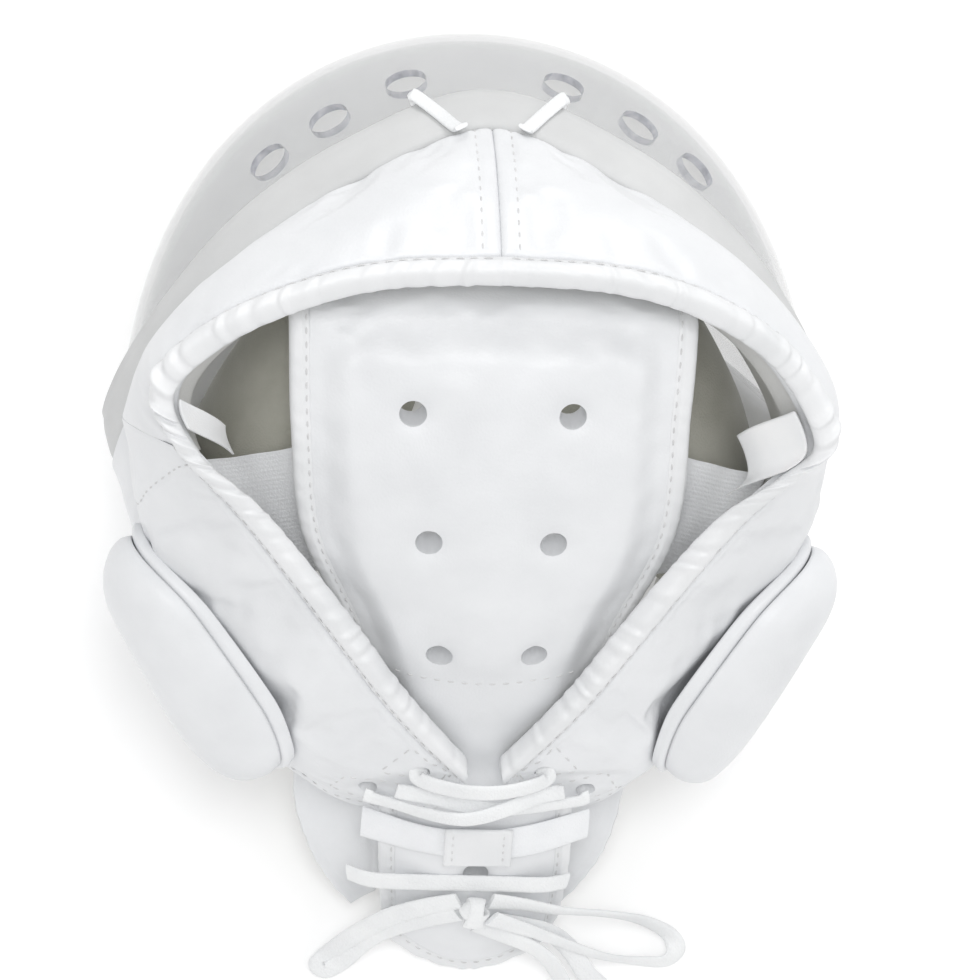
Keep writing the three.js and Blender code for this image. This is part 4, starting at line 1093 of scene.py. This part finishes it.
def run_simulation():
    """Offsets of each queued panel's outer face, in millimetres, after the cloth has settled."""
    offsets = {}
    scene = bpy.context.scene
    for step in range(1, SIM_FRAMES + 1):
        scene.frame_set(step)
    graph = bpy.context.evaluated_depsgraph_get()
    for name, cushion, outer, cap in SIM_QUEUE:
        offset = np.zeros_like(outer)
        mesh = cushion.evaluated_get(graph).to_mesh()
        flat = np.empty(len(mesh.vertices) * 3)
        mesh.vertices.foreach_get("co", flat)
        settled = flat.reshape(-1, 3)[: outer.shape[0] * outer.shape[1]].reshape(outer.shape) / MM
        offset = settled - outer
        far = np.linalg.norm(offset, axis=-1, keepdims=True)
        offset *= np.minimum(1, cap / np.maximum(far, 1e-6))
        offsets[name] = offset
        data = cushion.data
        bpy.data.objects.remove(cushion)
        bpy.data.meshes.remove(data)
    SIM_QUEUE.clear()
    scene.frame_set(1)
    return offsets


def spread(offset, us, vs):
    """A coarse grid of offsets, read smoothly at finer shares."""
    along = catmull(offset, us)
    return np.swapaxes(catmull(np.swapaxes(along, 0, 1), vs), 0, 1)


def forehead_depth(us, vs):
    return pad_depth(vs[None, :] + 0 * us[:, None], 1 - vs[None, :])


def side_depth(us, vs):
    return pad_depth(vs[None, :], 1 - vs[None, :], 1 - us[:, None])


def coarse_shares(kind):
    return [even(count) for count in SIM_PANELS[kind][0]]


def queue_all():
    for word, side in SIDES.items():
        for kind, grid_of, depth_of in (
            ("forehead", forehead_grid, forehead_depth), ("side", side_grid, side_depth),
        ):
            us, vs = coarse_shares(kind)
            outer = grid_of(side, us, vs)
            inner = outer + inward(outer) * depth_of(us, vs)[..., None]
            queue_panel(f"{kind}_{word}", kind, (outer, inner))
    ts, ws = coarse_shares("tongue")
    t, c = ts[:, None], 2 * ws[None, :] - 1
    queue_panel("tongue", "tongue", (tongue_points(t, c), tongue_points(t, c, -TONGUE_THICKNESS * 0.8)))


queue_all()
SETTLED = run_simulation()


# Leather panels

def edge_roll(distance, radius):
    """How far a padded edge falls away within a radius of its seam."""
    near = np.clip(1 - distance / radius, 0, 1)
    return radius * (1 - np.sqrt(np.maximum(1 - near**2, 0)))


def rolled_edges(distances, rolls):
    """How far a panel's face falls away at its four edges."""
    return sum(edge_roll(distance, radius) * share for distance, (radius, share) in zip(distances, rolls))


def corner_gathers(side, temple, crown, phase, reach_mm):
    """Folds that fan out from the temple's corner under the binding."""
    near = np.exp(-temple / CORNER_RUN) * np.exp(-crown / reach_mm) * CORNER_GATHER[side]
    return near * np.sin(phase)


def settled_panel(kind, word, us, vs, temple):
    """A panel's simulated offsets, faded out at the temple seam."""
    return spread(SETTLED[f"{kind}_{word}"], us, vs) * smooth_step(temple / SETTLE_RUN)[..., None]


def panel(name, outer, depth, offsets, bulges, inner_rise):
    """A padded panel: outer face with its seams, rounded rim, and lined inner face."""
    out = -inward(outer)
    skin = outer + offsets
    inner = outer + out * (inner_rise - depth)[..., None]
    layers = between(skin, inner, PANEL_SHARES)
    end_bulge, foot_bulge = bulges
    for bow, layer in zip(PANEL_BOWS, layers[1:-1]):
        layer[-1] += unit(outer[-1] - outer[-2]) * bow * end_bulge
        layer[:, -1] += unit(outer[:, -1] - outer[:, -2]) * bow * foot_bulge
    # The inner face takes the greyer leather copy, whose colour is painted shade.
    return layered_sheet(name, layers, [LOOKS["leather"], LOOKS["inside"]])


def puckers(run, across, points, size, reach_mm, seed):
    """Small gathers that run square to a seam and fade with distance from it."""
    phase = 2 * np.pi * run / size + 2.2 * grain(points, 22, seed) + 0.05 * across
    strength = 0.55 + 0.45 * grain(points, 30, seed + 5)
    return np.sin(phase) * strength * np.exp(-across / reach_mm)


def make_forehead(word, side):
    us, vs = (even(count) for count in FINE_FOREHEAD)
    outer = forehead_grid(side, us, vs)
    out = -inward(outer)
    distances = edge_distances(outer)
    seam, temple, crown, _ = distances
    lift = -rolled_edges(distances, FOREHEAD_ROLLS)
    lift -= 0.4 * bell(seam - FOREHEAD_STITCH, 1.0)
    lift += 0.16 * puckers(seam, crown, outer, 9.0, 7.0, 2)
    phase = 2 * np.pi * seam / 8.5 + 1.5 * grain(outer, 18, 8)
    lift += corner_gathers(side, temple, crown, phase, 9)
    lift += 0.3 * grain(outer, 48, 4)
    offsets = settled_panel("forehead", word, us, vs, temple) + out * lift[..., None]
    inner_rise = -0.8 * bell(crown - 16, 2.0)
    outer = pull_in(outer, HAIRLINE)
    piece = panel("forehead_pad_cover_" + word, outer, forehead_depth(us, vs), offsets, (0.0, 0.3),
                  inner_rise)
    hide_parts("forehead_pad_" + word)
    skin = outer + offsets
    return skin, normals_toward(skin, out), seam


def pull_in(grid, amount):
    """Draws the first and last rows in a little, so that neighbours keep a hairline."""
    moved = grid.copy()
    moved[0] += unit(grid[1] - grid[0]) * amount
    moved[-1] += unit(grid[-2] - grid[-1]) * amount
    return moved


def normals_toward(grid, out):
    normal = normals_of(grid)
    sign = np.sign((normal * out).sum(-1, keepdims=True))
    return normal * np.where(sign == 0, 1, sign)


def line_at(skin, normal, distance, wanted, axis=0, ends=slice(3, -3)):
    """The line on a panel's face where a field that only grows or only falls has the wanted value."""
    if axis == 1:
        skin, normal, distance = (np.swapaxes(grid, 0, 1) for grid in (skin, normal, distance))
    count, width = distance.shape
    spots = np.empty(width)
    for j in range(width):
        column = distance[:, j]
        steps = np.arange(count)
        if column[0] > column[-1]:
            column, steps = column[::-1], steps[::-1]
        spots[j] = np.interp(wanted, column, steps)
    spots = spots[ends]
    low = np.minimum(spots.astype(int), count - 2)
    j = np.arange(width)[ends]
    share = (spots - low)[:, None]
    return tuple(mixed(grid[low, j], grid[low + 1, j], share) for grid in (skin, normal))


def make_side(word, side):
    us, vs = (even(count) for count in FINE_SIDE)
    outer = side_grid(side, us, vs)
    out = -inward(outer)
    distances = edge_distances(outer)
    temple, lacing, crown, foot = distances
    lift = -rolled_edges(distances, SIDE_ROLLS)
    seam = temple - TEMPLE_SEAM[side][0] - TEMPLE_SEAM[side][1] * np.minimum(crown, 42)
    if side > 0:
        lift -= 0.55 * bell(seam, 1.0)
    else:
        lift += 1.3 * bell(seam, 1.2) * smooth_step((52 - crown) / 12)
    lift -= 0.35 * bell(crown - 3.6, 1.2)
    lift -= 0.5 * bell(foot - FOOT_STITCH, 1.2) + 0.5 * bell(lacing - LACING_STITCH, 1.1)
    lift += 0.3 * puckers(temple, crown, outer, 9.0, 6.0, 12)
    phase = 2 * np.pi * temple / 9 + 1.8 * grain(outer, 20, 9)
    lift += corner_gathers(side, temple, crown, phase, 10)
    lift += 0.45 * grain(outer, 44, 14)
    offsets = settled_panel("side", word, us, vs, temple) + out * lift[..., None]
    inner_rise = -0.9 * bell(crown - 17, 2.2) - 0.9 * bell(temple - 30, 2.4) * (crown > 17)
    outer = pull_in(outer, HAIRLINE)
    piece = panel("side_pad_cover_" + word, outer, side_depth(us, vs), offsets, (1.0, 1.0), inner_rise)
    spots = [side_point(side, u, v) for u, v in EYELETS]
    cutters = [(spot, -inward(spot), EYELET_DIAMETER * 0.72, 3 * PAD_THICKNESS) for spot in spots]
    cut_with(piece, cutters)
    crease_by_angle(piece, 50)
    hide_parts("side_pad_" + word)
    skin = outer + offsets
    return skin, normals_toward(skin, out), seam, lacing, foot


def binding_stations(side, count):
    """Centre, direction down the pad and direction inwards along the crown opening's edge."""
    at = even(count)
    centre = crown_edge(side, at)
    rows = at * 10
    below = np.empty_like(centre)
    for k, row in enumerate(rows):
        grid_of = forehead_grid if row <= TEMPLE_ROW else side_grid
        share = (row if row <= TEMPLE_ROW else row - TEMPLE_ROW) / TEMPLE_ROW
        below[k] = grid_of(side, np.array([share]), np.array([0.1]))[0, 0]
    wide = unit(below - centre)
    thick = inward(centre)
    thick = unit(thick - wide * (thick * wide).sum(-1, keepdims=True))
    return centre, wide, thick


def make_binding(word, side):
    centre, wide, thick = binding_stations(side, BINDING_STATIONS)
    run = lengths_along(centre, 0)
    tangent = unit(np.gradient(centre, axis=0))
    bend = np.linalg.norm(np.gradient(tangent, axis=0), axis=-1) / np.gradient(run)
    bend = np.convolve(bend, np.ones(25) / 25, mode="same")
    corner = bell(even(BINDING_STATIONS) - CORNER_AT, 0.085) * CORNER_GATHER[side]
    gather = 1.3 + 0.5 * np.clip(bend / 0.05, 0, 1) + 3.6 * corner
    wobble = grain(centre, 12, 21 + side)
    swing = grain(centre, 26, 23 + side)[:, None]
    section = rounded_section(0, BINDING_WIDTH, -BINDING_PROUD, BINDING_THICKNESS - BINDING_PROUD, 2.7, 36)

    def shape(w, t):
        phase = 2 * np.pi * run[:, None] / 7.5 + 5.5 * wobble[:, None] + 0.45 * (w - 3)
        fold = (np.sin(phase) + 0.4 * np.sin(1.7 * phase + 1.0)) * (0.7 + 0.6 * swing)
        from_stitch = np.clip(np.abs(w - 5.5) / 3.0, 0.25, 1)
        outer_side = np.clip((3.0 - t) / 3.0, 0, 1)
        lift = 0.34 * gather[:, None] * fold * from_stitch * outer_side
        sewn = bell(w - BINDING_STITCH, 0.7) * 0.8 * outer_side
        tight = -0.35 * gather[:, None] * fold * np.clip((2.5 - w) / 3, 0, 1)
        return w + tight, t - lift + sewn
    piece = swept("crown_binding_roll_" + word, centre, wide, thick, section, [LOOKS["binding"]],
                  shape=shape)
    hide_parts("crown_binding_" + word)
    line = centre + wide * BINDING_STITCH - thick * 0.25
    return line[3:-3], -thick[3:-3]


def make_shell():
    rows = []
    for word, side in SIDES.items():
        skin, normal, seam = make_forehead(word, side)
        rows.append(line_at(skin, normal, seam, FOREHEAD_STITCH, ends=slice(2, -2)))
        skin, normal, temple, lacing, foot = make_side(word, side)
        if side > 0:
            rows.append(line_at(skin, normal, temple, 0.0, ends=slice(2, 64)))
        rows.append(line_at(skin, normal, lacing, LACING_STITCH))
        rows.append(line_at(skin, normal, foot, FOOT_STITCH, axis=1))
        rows += eyelet_boxes(skin, normal)
        rows.append(make_binding(word, side))
    stitches("shell_stitching", rows)


def eyelet_boxes(skin, normal):
    """Stitched reinforcement round each eyelet."""
    rows = []
    last = np.array(skin.shape[:2]) - 1
    corners = np.array([(-1, -1), (1, -1), (1, 1), (-1, 1), (-1, -1)]) * EYELET_BOX
    for spot in EYELETS:
        ring = (spot * last).astype(int) + corners
        for start, end in zip(ring, ring[1:]):
            line = np.linspace(start, end, EYELET_BOX_STEPS).round().astype(int)
            i, j = np.clip(line, 0, last).T
            rows.append((skin[i, j], normal[i, j]))
    return rows


make_shell()


# Crown pad

def hole_centres():
    """Centre and outward direction of each air hole in the crown pad."""
    holes = []
    for along, across in TONGUE_HOLES:
        half, _, normal = tongue_row(np.array(along))
        for s in (0,) if across == 0 else (-1, 1):
            centre = tongue_points(np.array(along), np.array(s * across * TONGUE_HALF_WIDTH / half))
            holes.append((centre, normal))
    return holes


def make_tongue():
    ts, ws = (even(count) for count in FINE_TONGUE)
    flat = tongue_points(ts[:, None], (2 * ws[None, :] - 1) * TONGUE_TUCK)
    out = np.repeat(tongue_row(ts)[2][:, None], len(ws), axis=1)
    along = lengths_along(flat, 0)
    across = lengths_along(flat, 1)
    side_inset = np.minimum(across, across[:, -1:] - across)
    foot_inset = along[-1:] - along
    seam = np.abs(ts - SEAM_ALONG)[:, None] * along[-1:]
    raised = smooth_step((side_inset - 3) / 9) * smooth_step((along - 24) / 13)
    raised = raised * smooth_step((foot_inset - 8) / 8) * (0.45 + 0.55 * smooth_step(seam / 7))
    lift = PANEL_RISE * raised * mixed(1.0, 0.12, smooth_step((ts - 0.55) / 0.12))[:, None]
    lift += 0.3 * grain(flat, 60, 31) * raised
    lift += 0.1 * puckers(along, side_inset, flat, 8.0, 4.0, 35) * smooth_step(along / 20)
    holes = hole_centres()
    for centre, _ in holes:
        away = np.linalg.norm(flat - centre, axis=-1)
        lift -= 1.3 * np.exp(-np.maximum(away - HOLE_HALF, 0) / 2.2)
    loose = TONGUE_SETTLE * smooth_step(along / 30) * smooth_step((0.66 - ts) / 0.1)[:, None]
    settled = spread(SETTLED["tongue"], ts, ws) * loose[..., None]
    skin = flat + settled + out * lift[..., None]
    inset = np.minimum(np.minimum(side_inset, foot_inset), along)
    depth = mixed(6.0, TONGUE_THICKNESS, smooth_step(inset / 9))
    inner = flat - out * depth[..., None]
    piece = layered_sheet("crown_pad_cover", between(skin, inner, (0.25, 0.6)),
                          [LOOKS["leather"], LOOKS["lining"]])
    cutters = [(centre, normal, TONGUE_HOLE_DIAMETER, 5 * TONGUE_THICKNESS) for centre, normal in holes]
    cut_with(piece, cutters)
    crease_by_angle(piece, 50)
    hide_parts("crown_pad")
    normal = normals_toward(skin, out)
    seam_line = line_at(skin, normal, ts[:, None] + 0 * along, SEAM_ALONG, ends=slice(9, -9))
    stitches("crown_pad_stitching", [seam_line, bind_tongue()])


def tongue_edge(ts, side):
    normal = tongue_row(ts)[2]
    edge = tongue_points(ts, side + 0 * ts)
    wide = unit(edge - tongue_points(ts, 0.9 * side + 0 * ts))
    return edge + wide * GAP, wide, -normal


def resampled(fields, count, window):
    """Stations evened out along their path, with their directions smoothed."""
    run = lengths_along(fields[0], 0)
    at = np.linspace(0, run[-1], count)
    kernel = np.ones(window) / window
    extra = window // 2
    result = []
    for field in fields:
        row = np.stack([np.interp(at, run, field[:, k]) for k in range(3)], axis=-1)
        padded = np.pad(row, ((extra, extra), (0, 0)), mode="edge")
        result.append(np.stack([np.convolve(padded[:, k], kernel, "valid") for k in range(3)], axis=-1))
    return result


def bind_tongue():
    ts = even(120)
    foot_normal = tongue_row(np.array(1.0))[2]
    down = unit(np.cross(np.array([1.0, 0, 0]), foot_normal))
    down = -down if down[2] > 0 else down
    cs = np.linspace(0.8, -0.8, 33)
    foot_wide = unit(down + np.stack([0.9 * cs**3, 0 * cs, 0 * cs], axis=-1))
    foot_centre = tongue_points(1 + 0 * cs, cs) + foot_wide * GAP
    foot = (foot_centre, foot_wide, np.repeat(-foot_normal[None], len(cs), axis=0))
    left = tongue_edge(ts, 1)
    right = [field[::-1] for field in tongue_edge(ts, -1)]
    fields = [np.concatenate(parts) for parts in zip(left, foot, right)]
    centre, wide, thick = resampled(fields, TONGUE_BINDING_STATIONS, 9)
    wide = unit(wide)
    thick = unit(thick - wide * (thick * wide).sum(-1, keepdims=True))
    low = -TONGUE_BINDING_PROUD
    section = rounded_section(-GAP, TONGUE_BINDING_WIDTH, low, low + TONGUE_BINDING_THICKNESS, 3.0, 36)
    run = lengths_along(centre, 0)[:, None]
    wobble = grain(centre, 9, 41)[:, None]
    near_foot = smooth_step((centre[:, 1:2] - 95) / 25)

    def shape(w, t):
        fold = np.sin(2 * np.pi * run / 6.5 + 4.0 * wobble + 0.4 * w)
        face = np.clip((3.0 - t) / 3.0, 0, 1)
        lift = (0.12 + 0.13 * near_foot) * fold * face * np.clip(np.abs(w - 1.2) / 3, 0.2, 1)
        return w, t - lift + 0.7 * bell(w - TONGUE_BINDING_STITCH, 0.6) * face
    piece = swept("crown_pad_binding_roll", centre, wide, thick, section, [LOOKS["binding"]],
                  shape=shape)
    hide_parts("crown_pad_binding")
    line = centre + wide * TONGUE_BINDING_STITCH - thick * (TONGUE_BINDING_PROUD - 0.7)
    return line[4:-4], -thick[4:-4]


make_tongue()


# Ear guards

def ear_points(side, share, r, angle, lift):
    length = np.abs(np.cos(angle)) ** EAR_SQUARENESS + np.abs(np.sin(angle)) ** EAR_SQUARENESS
    out = share * r / length ** (1 / EAR_SQUARENESS)
    u = EAR_CENTRE[0] + EAR_REACH[0] * out * np.cos(angle)
    v = EAR_CENTRE[1] + EAR_REACH[1] * out * np.sin(angle)
    points = side_at(side, u, v)
    return points - inward(points) * lift[..., None]


def disc_body(name, upper, lower):
    """A closed leather body between two polar grids whose first ring is the middle."""
    rings, sectors = upper.shape[:2]
    points = np.concatenate([upper.reshape(-1, 3), lower.reshape(-1, 3)])
    faces = polar_faces(rings, sectors)
    faces.append(tuple(reversed(range(sectors))))
    faces.append(tuple(rings * sectors + s for s in range(sectors)))
    piece = new_piece(name, points, faces, [LOOKS["leather"]])
    outward_faces(piece)
    return piece


def make_ears():
    rounds = np.linspace(0, 2 * np.pi, EAR_SECTORS, endpoint=False)
    rings = np.concatenate([[0.02], np.linspace(0.1, 0.9, 20), 1 - 0.1 * np.linspace(0.9, 0, 14) ** 1.6])
    r, angle = np.broadcast_arrays(rings[:, None], rounds)
    roll = edge_roll((1 - r) * 30, 2.2) * 0.9
    seat = EAR_SEAT + GAP + EAR_BASE_THICKNESS
    swell = np.maximum(1 - r**3.2, 0) ** 0.7
    rim = EAR_DOME_RIM * (1 - np.clip((r - 0.985) / 0.015, 0, 1) ** 2 * 0.5)
    share = EAR_DOME_SHARE + EAR_DOME_COVER * smooth_step(-np.sin(angle))
    for word, side in SIDES.items():
        upper = ear_points(side, 1.0, r, angle, EAR_SEAT + EAR_BASE_THICKNESS - roll)
        lower = ear_points(side, 1.0, r, angle, EAR_SEAT + roll * 0.6)
        piece = disc_body("ear_guard_layer_" + word, upper, lower)
        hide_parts("ear_guard_base_" + word)
        upper = ear_points(side, share, r, angle, seat + rim + EAR_DOME_HEIGHT * swell)
        dents = 0.5 * grain(upper, 40, 51 + side) * np.minimum(1, (1 - r) * 8)
        upper = upper - inward(upper) * dents[..., None]
        lower = ear_points(side, share, r, angle, seat + 0 * r)
        piece = disc_body("ear_guard_shell_" + word, upper, lower)
        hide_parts("ear_guard_dome_" + word)


make_ears()


# Webbing, wings, chin pad and straps

def under_pad(side, u, v, clearance):
    outer = side_at(side, u, v)
    depth = pad_depth(v, 1 - v, 1 - u)
    return outer + inward(outer) * (depth + clearance)[..., None]


def make_elastic(word, side):
    along = even(90)[:, None]
    across = even(40)[None, :]
    t = mixed(*ELASTIC_PLACE["pad"], along) + 0 * across
    start = tongue_points(t, 0.98 * side + 0 * t, -TONGUE_BINDING_THICKNESS - GAP)
    u = mixed(*ELASTIC_PLACE["side"], along) + 0 * across
    end = under_pad(side, u, ELASTIC_PLACE["down"] + 0 * u, 2 * GAP)
    upper = mixed(start, end, across[..., None])
    upper[..., 2] -= 4 * ELASTIC_SAG * across * (1 - across)
    width = lengths_along(upper, 0)
    ribs = 0.16 * np.sin(2 * np.pi * width / RIB_PITCH)
    waves = 0.5 * np.sin(2 * np.pi * across * 2.5 + 2 * along) * across * (1 - across) * 4
    upper = upper + np.array([0, 0, 1.0]) * (ribs + waves)[..., None]
    lower = upper - np.array([0, 0, ELASTIC_THICKNESS])
    piece = layered_sheet("elastic_webbing_" + word, between(upper, lower, (0.5,)),
                          [LOOKS["webbing"]])
    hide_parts("elastic_band_" + word)


def make_wing(word, side):
    edges = []
    for part in (0, 1):
        u, v = np.array([WING_SEAT[part]]), np.array([WING_SEAT[2]])
        seat = under_pad(side, u, v, np.array([6.5 * GAP]))
        rest = shell_points(side, [row[part] for row in WING_ROWS], WING_LEAN)
        edges.append(catmull(np.vstack([seat, rest]), even(80)))
    w = even(36)[None, :, None]
    outer = mixed(edges[0][:, None], edges[1][:, None], w)
    out = -inward(outer)
    across = lengths_along(outer, 1)
    foot = lengths_along(outer[::-1], 0)[::-1]
    inset = np.minimum(np.minimum(across, across[:, -1:] - across), foot)
    lift = -edge_roll(inset, 3.4) * 0.9 - 0.5 * bell(inset - 5.0, 1.0)
    lift += 0.4 * grain(outer, 16, 61) + 0.35 * puckers(foot, inset, outer, 6.5, 6.0, 63)
    skin = outer + out * lift[..., None]
    inner = outer + out * (edge_roll(inset, 3.4) * 0.9 - WING_THICKNESS)[..., None]
    piece = layered_sheet("nape_wing_cover_" + word, between(skin, inner, (0.3, 0.7)),
                          [LOOKS["leather"], LOOKS["lining"]])
    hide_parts("nape_wing_" + word)


def make_chin_pad():
    around = CHIN_TURN + (-180 - 2 * CHIN_TURN) * even(90)
    centre, wide, thick = frame_station(around)
    corner = centre + wide * FRAME_WIDTH / 2 + thick * (FRAME_LIP - FRAME_DEPTH)
    level = unit(thick * np.array([1, 1, 0]))
    face = corner + level * (CHIN_SEAT - GAP)
    face[:, 2] = CHIN_PAD_HEIGHT / 2
    up = np.tile([0, 0, 1.0], (len(around), 1))
    half = CHIN_PAD_HEIGHT / 2
    section = rounded_section(-half, half, 0, CHIN_PAD_THICKNESS, 5.0, 44)
    run = lengths_along(face, 0)[:, None]

    def shape(w, t):
        waves = 0.3 * np.sin(2 * np.pi * run / 14) * bell(np.abs(w) - half + 4, 2)
        return w, t + 0.5 * bell(w, 9) * (t > 8) - waves
    piece = swept("chin_pad_cover", face, up, -level, section, [LOOKS["leather"]], shape=shape)
    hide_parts("chin_pad")


def make_cheek_pad(word, side):
    """Lining pad behind the frame at each cheek, of which only the top shows through the gap. Its dark
    lining colour there also stands in for the shade of the hollow behind the gap.
    """
    around = np.linspace(*CHEEK_TURNS, 60)
    centre, _, _ = frame_station(around if side > 0 else 180 - around)
    back = np.tile([0, 1.0, 0], (len(around), 1))
    toward = np.tile([-float(side), 0, 0], (len(around), 1))
    section = rounded_section(*CHEEK_BACK, *CHEEK_DEPTH, 3.2, 40)
    bow = np.sin(np.pi * even(60))[:, None]

    def shape(w, t):
        return w, CHEEK_DEPTH[0] + (t - CHEEK_DEPTH[0]) * (0.55 + 0.45 * bow**0.5)
    piece = swept("cheek_lining_" + word, centre, back, toward, section, [LOOKS["lining"]],
                  shape=shape)


def make_nape_strap():
    row_half, middle, normal = tongue_row(np.array(STRAP_ALONG))
    pad_half = row_half - TONGUE_BINDING_WIDTH - GAP
    drop = tongue_sag(STRAP_ALONG) * row_half
    lift = TONGUE_BINDING_PROUD + 2 * GAP + NAPE_STRAP_THICKNESS / 2
    across = np.linspace(-1, 1, 41) * (row_half + STRAP_OVERHANG)
    c = np.abs(across / pad_half)
    fall = drop * np.where(c < 1, c**2, 2 * c - 1)
    points = middle + np.outer(across, [1, 0, 0]) + np.outer(lift - fall, normal)
    facings = np.repeat(normal[None], 41, axis=0)
    piece = strand("nape_strap_webbing", points, facings, NAPE_STRAP_WIDTH, NAPE_STRAP_THICKNESS, 160,
                   [LOOKS["webbing"]], lambda t: 0.1 * np.sin(7 * t))
    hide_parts("nape_strap")
    low = TONGUE_BINDING_PROUD + 3 * GAP + NAPE_STRAP_THICKNESS
    down = np.cross(np.array([1.0, 0, 0]), normal)
    a, b = np.meshgrid(np.linspace(-0.5, 0.5, 44), np.linspace(-0.5, 0.5, 30), indexing="ij")
    inset = np.minimum((0.5 - np.abs(a)) * KEEPER_WIDTH, (0.5 - np.abs(b)) * KEEPER_HEIGHT)
    sewn = (0.5 - np.abs(a)) * KEEPER_WIDTH
    base = middle + a[..., None] * KEEPER_WIDTH * np.array([1, 0, 0]) + b[..., None] * KEEPER_HEIGHT * down
    dome = low + KEEPER_THICKNESS - edge_roll(inset, 1.0) * 0.7 - 0.35 * bell(sewn - KEEPER_STITCH, 0.8)
    dome = dome + 0.25 * grain(base, 8, 71)
    upper = base + dome[..., None] * normal
    lower = base + (low + edge_roll(inset, 1.0) * 0.2)[..., None] * normal
    piece = layered_sheet("keeper_cover", [upper, lower], [LOOKS["binding"]])
    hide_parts("keeper_patch")
    outs = np.broadcast_to(normal, upper.shape)
    rows = [line_at(upper, outs, (0.5 + turn * a) * KEEPER_WIDTH, KEEPER_STITCH) for turn in (1, -1)]
    stitches("keeper_stitching", rows, pitch=2.6, size=0.5)


def off_pad(side, spot, off):
    point = side_point(side, *spot)
    return point - inward(point) * off


def make_fixed_lace():
    gap_middle = (crown_edge(1, np.array([1.0]))[0] + crown_edge(-1, np.array([1.0]))[0]) / 2
    middle = gap_middle + place(0, -5.5, 1)
    half = {
        side: [
            off_pad(side, EYELETS[0], -3), off_pad(side, EYELETS[0], 2.2),
            (off_pad(side, EYELETS[0], 4.5) + middle) / 2,
        ]
        for side in (1, -1)
    }
    points = np.array([*half[1], middle, *half[-1][::-1]])
    facings = np.tile(LACE_FACING, (len(points), 1))
    piece = strand("lace_bar_band", points, facings, 5.6, LACE_THICKNESS, 90, [LOOKS["lace"]])
    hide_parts("lace_bar")
    for word, side in SIDES.items():
        bend = CROSS_BENDS[side]
        rim = off_pad(side, EYELETS[1], CROSS_RIM)
        tip = off_pad(-side, CROSS_END, CROSS_TIP) + place(-side * CROSS_TURN, 0, 0)
        start = off_pad(side, EYELETS[1], CROSS_OUTSIDE)
        start = start + unit(tip - start) * CROSS_LEAD
        over = off_pad(-side, CROSS_END, CROSS_LANDING)
        landing = over + unit(rim - over) * (CROSS_LEAD - CROSS_TURN)
        middle = (start + landing) / 2 + place(0, *bend)
        points = np.array([rim, start, middle, landing, tip])
        facings = np.tile(LACE_FACING, (len(points), 1))
        piece = strand("lace_cross_band_" + word, points, facings, 5.2, LACE_THICKNESS, 90,
                       [LOOKS["lace"]], lambda t, side=side: 0.25 * side * np.sin(2 * np.pi * t))
        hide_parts("lace_cross_" + word)


def make_ties():
    for word, side in SIDES.items():
        points = []
        thicks = []
        for around, over, lip in TIE_ROUTE:
            centre, wide, thick = frame_station(np.array(around if side > 0 else 180 - around))
            spot = centre + wide * over * FRAME_WIDTH / 2
            points.append(spot + thick * (lip * FRAME_LIP + GAP + TIE_THICKNESS / 2))
            thicks.append(thick)
        piece = strand("forehead_tie_band_" + word, points, thicks, TIE_WIDTH, TIE_THICKNESS, 70,
                       [LOOKS["lace"]])
        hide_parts("forehead_tie_" + word)


for side_word, side_sign in SIDES.items():
    make_elastic(side_word, side_sign)
    make_wing(side_word, side_sign)
    make_cheek_pad(side_word, side_sign)
make_chin_pad()
make_nape_strap()
make_fixed_lace()
make_ties()


# Blank labels under the binding

def make_label(word, side):
    start, end = LABEL_PLACES[side]
    along = mixed(start, end, even(30)) * TEMPLE_ROW / 10
    edge = crown_edge(side, along)
    top = edge + inward(edge) * (BINDING_THICKNESS + LABEL_THICKNESS + 5 * GAP)
    hang = place(-side * LABEL_HANG[0], -LABEL_HANG[1], -LABEL_HANG[2])
    behind = unit(place(side * LABEL_HANG[2], 0, -LABEL_HANG[0]))
    down = even(40)[None, :, None]
    face = top[:, None] + hang * down
    curl = 1.6 * np.sin(np.pi * down[..., 0] * 1.1) + 0.7 * grain(face, 16, 81 + side)
    face = face - behind * (curl * down[..., 0])[..., None]
    back = face + behind * LABEL_THICKNESS
    piece = layered_sheet("blank_label_" + word, [face, back], [LOOKS["label"]])
    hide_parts("label_" + word)


for side_word, side_sign in SIDES.items():
    make_label(side_word, side_sign)


# Floor and light

def make_stage():
    bpy.ops.mesh.primitive_plane_add(size=FLOOR_SIZE, location=(0, 0, -FLOOR_DROP))
    floor = bpy.context.object
    floor.name = "floor"
    look, _, _, bsdf = shader("floor_white")
    bsdf.inputs["Base Color"].default_value = (FLOOR_WHITE, FLOOR_WHITE, FLOOR_WHITE, 1)
    bsdf.inputs["Roughness"].default_value = FLOOR_ROUGHNESS
    bsdf.inputs["Emission Color"].default_value = (1, 1, 1, 1)
    bsdf.inputs["Emission Strength"].default_value = FLOOR_GLOW
    floor.data.materials.append(look)
    world = bpy.data.worlds.new("studio")
    bpy.context.scene.world = world
    world.use_nodes = True
    background = world.node_tree.nodes["Background"]
    background.inputs["Color"].default_value = (1, 1, 1, 1)
    background.inputs["Strength"].default_value = WORLD_STRENGTH
    bpy.context.scene.view_settings.view_transform = "Standard"
    for name, spot, size, power in LIGHTS:
        lamp = add_object(name, bpy.data.lights.new(name, "AREA"))
        lamp.location = spot
        lamp.data.size = size
        lamp.data.energy = power
        lamp.rotation_euler = (Vector(LIGHT_AIM) - Vector(spot)).to_track_quat("-Z", "Y").to_euler()


make_stage()
